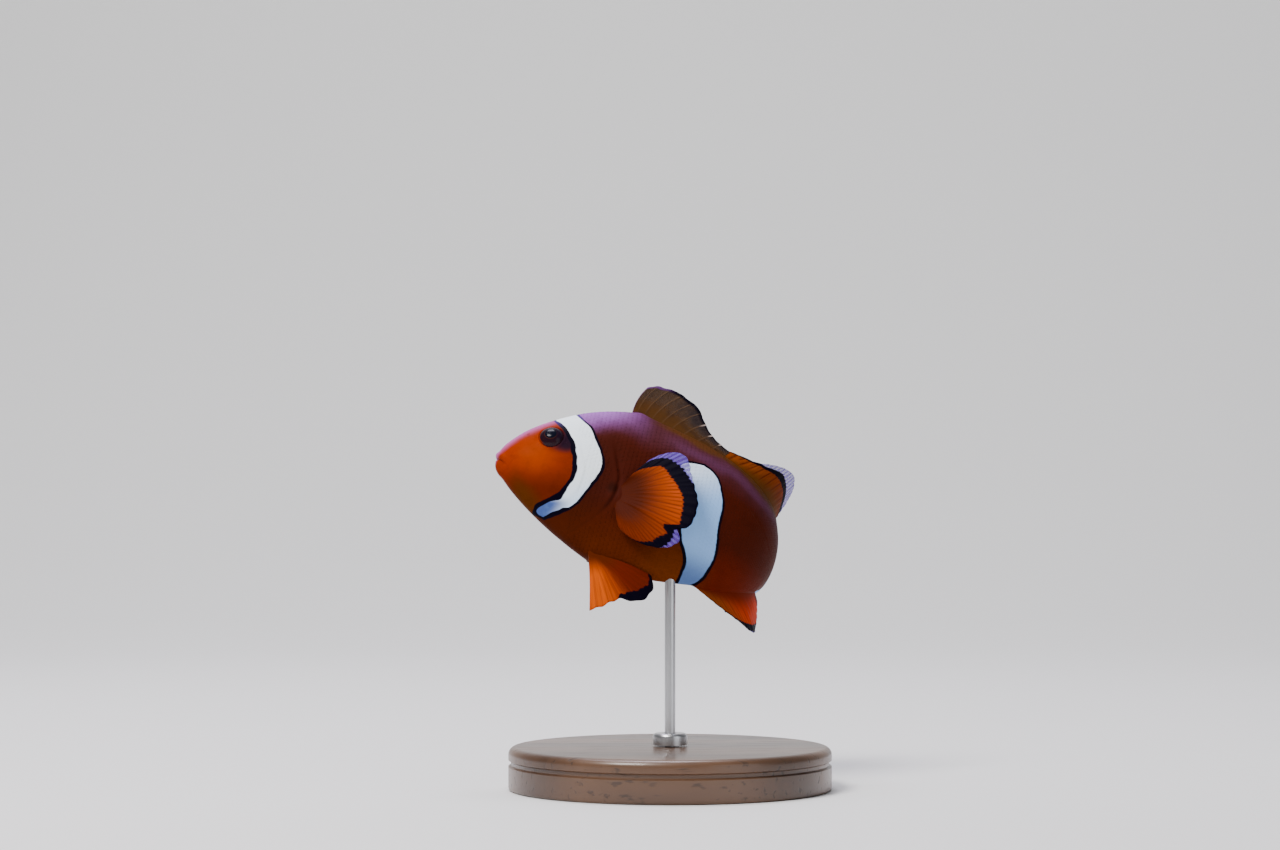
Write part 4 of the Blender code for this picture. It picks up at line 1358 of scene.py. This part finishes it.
class FISH_OT_paired_fins(bpy.types.Operator):
    """Models the pectoral and pelvic fins"""

    bl_idname = "fish.paired_fins"
    bl_label = "Paired fins"

    def pectoral(self, side, word, look, sizes):
        back, left, up = directions(PECTORAL_ROOT[0])
        outward = back * math.cos(PECTORAL_FLARE) + left * side * math.sin(PECTORAL_FLARE)
        inward = back * math.sin(PECTORAL_FLARE) - left * side * math.cos(PECTORAL_FLARE)
        axes = (outward, up, inward, up, -left * side - back * 0.3)
        way = fan_way(PECTORAL_ROOT, PECTORAL_HALF_ROOT, PECTORAL_EDGE, axes, side, fold=0.016)
        add_fin("pectoral_" + word, "pectoral_fin_" + word, PECTORAL_COUNT, 46, way, look, sizes)

    def pelvic(self, side, word, look, sizes):
        back, left, up = directions(PELVIC_ROOT[0])
        flare, sweep, edge = PELVIC_FLARE, 0.0, PELVIC_EDGE
        if side < 0:
            flare, sweep = RIGHT_PELVIC_FLARE, RIGHT_PELVIC_SWEEP
            edge = [(a * RIGHT_PELVIC_SPREAD, length * RIGHT_PELVIC_LENGTH) for a, length in PELVIC_EDGE]
        down = left * side * math.sin(flare) - up * math.cos(flare)
        inward = -left * side * math.cos(flare) - up * math.sin(flare)
        outward = down * math.cos(sweep) + back * math.sin(sweep)
        crossways = back * math.cos(sweep) - down * math.sin(sweep)
        axes = (outward, crossways, inward, back, up)
        way = fan_way(PELVIC_ROOT, PELVIC_HALF_ROOT, edge, axes, side)
        add_fin("pelvic_" + word, "pelvic_fin_" + word, PELVIC_COUNT, 40, way, look, sizes, notch=0.02)

    def execute(self, context):
        sizes, ink = context.scene.fish_sizes, context.scene.fish_colours
        pectoral_look = fin_look(
            "pectoral fin", ink, PECTORAL_COUNT, PECTORAL_BAND, PECTORAL_RIM,
            (ink.fin_root, ink.fin_dull, ink.fin), streaks=0.65, foot=(0.24, 0.86),
        )  # fmt: skip
        pelvic_look = fin_look(
            "pelvic fin", ink, PELVIC_COUNT, PELVIC_BAND, PELVIC_RIM,
            (ink.belly, ink.fin_bright, ink.hind_belly), streaks=0.25, haze=0.0, foot=(0.08, 0.48),
        )  # fmt: skip
        for side, word in SIDES:
            self.pectoral(side, word, pectoral_look, sizes)
            self.pelvic(side, word, pelvic_look, sizes)
        return {"FINISHED"}


def turned_piece(name, profile, look, node, segments):
    """Spins a profile of (radius, height) points, from the bottom's middle to the top's, into a piece."""
    low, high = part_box(node)
    centre = (low + high) / 2
    shape = bmesh.new()
    verts = [shape.verts.new((centre.x + radius, centre.y, height)) for radius, height in profile]
    edges = [shape.edges.new(pair) for pair in zip(verts, verts[1:])]
    bmesh.ops.spin(
        shape, geom=verts + edges, cent=(centre.x, centre.y, 0), axis=(0, 0, 1), angle=2 * math.pi,
        steps=segments, use_merge=True,
    )  # fmt: skip
    bmesh.ops.remove_doubles(shape, verts=shape.verts, dist=1e-6)
    mesh = mesh_of(name, shape)
    add_piece(mesh, look, (node,))
    mesh.set_sharp_from_angle(angle=math.radians(40))


def arc(radius, height, size, start, stop, count):
    """Points (radius, height) round a quarter of a rounded rim."""
    angles = np.radians(np.linspace(start, stop, count))
    return [(radius + size * math.cos(angle), height + size * math.sin(angle)) for angle in angles]


class FISH_OT_stand(bpy.types.Operator):
    """Models the turned walnut base, the steel rod and its collar"""

    bl_idname = "fish.stand"
    bl_label = "Display stand"

    def execute(self, context):
        stand = context.scene.fish_stand
        wood, steel = wood_look(stand), steel_look(stand)
        low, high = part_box("stand_base")
        radius, top = (high.x - low.x) / 2, high.z
        groove = top - GROOVE_UNDER_TOP
        profile = [(0.0, 0.0), (radius - 2 * BASE_FOOT, 0.0)]
        profile += arc(radius - BASE_FOOT, BASE_FOOT, BASE_FOOT, -90, 0, 5)
        for share, depth in ((-1, 0.0), (-0.5, stand.groove), (0.5, stand.groove), (1, 0.0)):
            profile.append((radius - depth, groove + share * GROOVE_HALF_WIDTH))
        profile += [*arc(radius - BASE_RIM, top - BASE_RIM, BASE_RIM, 0, 90, 9), (0.0, top)]
        turned_piece("base", profile, wood, "stand_base", 160)
        low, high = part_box("stand_rod")
        radius = (high.x - low.x) / 2
        profile = [(0.0, low.z), (radius, low.z), *arc(0.0, high.z - radius, radius, 0, 90, 8)]
        turned_piece("rod", profile, steel, "stand_rod", 40)
        low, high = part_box("stand_collar")
        radius, inner = (high.x - low.x) / 2, COLLAR_INNER_RADIUS
        profile = [(inner, low.z), (radius, low.z), (radius, low.z + COLLAR_WALL)]
        profile += arc(radius - COLLAR_RIM, high.z - COLLAR_RIM, COLLAR_RIM, 0, 90, 6)
        profile += [(inner + COLLAR_INNER_RIM, high.z), (inner, high.z - COLLAR_INNER_RIM), (inner, low.z)]
        turned_piece("collar", profile, steel, "stand_collar", 72)
        return {"FINISHED"}


class FISH_OT_stage(bpy.types.Operator):
    """Sets up the pale floor, the soft lights and the camera"""

    bl_idname = "fish.stage"
    bl_label = "Stage"

    def floor(self, stage):
        shape = bmesh.new()
        bmesh.ops.create_grid(shape, x_segments=8, y_segments=60, size=1.0)
        bend, radius = 0.45, 0.60
        for vertex in shape.verts:
            way = (vertex.co.y + 1) * 2.6 - 2.6
            past = max(0.0, way - bend)
            angle = min(past / radius, math.pi / 2)
            vertex.co.x *= 3.0
            vertex.co.y = min(way, bend) + radius * math.sin(angle)
            vertex.co.z = radius * (1 - math.cos(angle)) + max(0.0, past - radius * math.pi / 2)
        mesh = mesh_of("floor", shape)
        mesh.shade_smooth()
        mesh.materials.append(paper_look(stage))
        floor = bpy.data.objects.new("floor", mesh)
        bpy.context.scene.collection.objects.link(floor)

    def light(self, name, place, aim, size, power, tint):
        data = bpy.data.lights.new(name, "AREA")
        data.shape = "DISK"
        data.size = size
        data.energy = power
        data.color = tint
        lamp = bpy.data.objects.new(name, data)
        lamp.location = place
        lamp.rotation_euler = (aim - lamp.location).to_track_quat("-Z", "Y").to_euler()
        bpy.context.scene.collection.objects.link(lamp)

    def execute(self, context):
        scene = context.scene
        stage = scene.fish_stage
        self.floor(stage)
        low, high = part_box("trunk")
        aim = (low + high) / 2
        self.light("key", (-0.34, -0.42, 0.66), aim, 0.34, stage.key_power, (1.0, 0.97, 0.94))
        self.light("fill", (0.60, -0.55, 0.22), aim, 0.60, stage.fill_power, (0.93, 0.96, 1.0))
        self.light("top", (-0.08, 0.16, 0.58), aim, 0.36, stage.top_power, (0.88, 0.84, 1.0))
        wall = Vector((0.0, 1.05, 0.30))
        self.light("backdrop", (0.0, 0.30, 1.05), wall, 0.60, stage.backdrop_power, (1.0, 1.0, 1.0))
        world = bpy.data.worlds.new("surround")
        world.use_nodes = True
        world.node_tree.nodes["Background"].inputs["Color"].default_value = (0.93, 0.95, 1.0, 1.0)
        world.node_tree.nodes["Background"].inputs["Strength"].default_value = stage.sky
        scene.world = world
        data = bpy.data.cameras.new("camera")
        data.sensor_width = 36.0
        data.lens = LENS
        data.clip_start = 0.01
        camera = bpy.data.objects.new("camera", data)
        right, height = CAMERA_OFFSET
        camera.location = (SHIFT[0] + right, -stage.camera_distance, SHIFT[2] + height)
        camera.rotation_euler = (math.pi / 2, 0.0, 0.0)
        scene.collection.objects.link(camera)
        scene.camera = camera
        return {"FINISHED"}


class FISH_PT_panel(bpy.types.Panel):
    """Lists the fish's settings and the steps that model it"""

    bl_idname = "FISH_PT_panel"
    bl_label = "Clownfish"
    bl_space_type = "VIEW_3D"
    bl_region_type = "UI"
    bl_category = "Clownfish"

    def draw(self, context):
        for name in GROUPS:
            box = self.layout.box()
            settings = getattr(context.scene, name)
            for key in settings.bl_rna.properties.keys():
                if key not in ("rna_type", "name"):
                    box.prop(settings, key)
        for step in STEPS:
            self.layout.operator(step.bl_idname)


STEPS = (
    FISH_OT_skin,
    FISH_OT_scales,
    FISH_OT_eyes,
    FISH_OT_middle_fins,
    FISH_OT_paired_fins,
    FISH_OT_stand,
    FISH_OT_stage,
)
GROUPS = {
    "fish_sizes": FishSizes,
    "fish_colours": FishColours,
    "fish_stand": StandSettings,
    "fish_stage": StageSettings,
}


def register():
    for kind in (*GROUPS.values(), *STEPS, FISH_PT_panel):
        bpy.utils.register_class(kind)
    for name, kind in GROUPS.items():
        setattr(bpy.types.Scene, name, PointerProperty(type=kind))


def unregister():
    for name in GROUPS:
        delattr(bpy.types.Scene, name)
    for kind in reversed((*GROUPS.values(), *STEPS, FISH_PT_panel)):
        bpy.utils.unregister_class(kind)


def main():
    register()
    bpy.ops.fish.skin()
    bpy.ops.fish.scales()
    bpy.ops.fish.eyes()
    bpy.ops.fish.middle_fins()
    bpy.ops.fish.paired_fins()
    bpy.ops.fish.stand()
    bpy.ops.fish.stage()


if __name__ == "__main__":
    main()
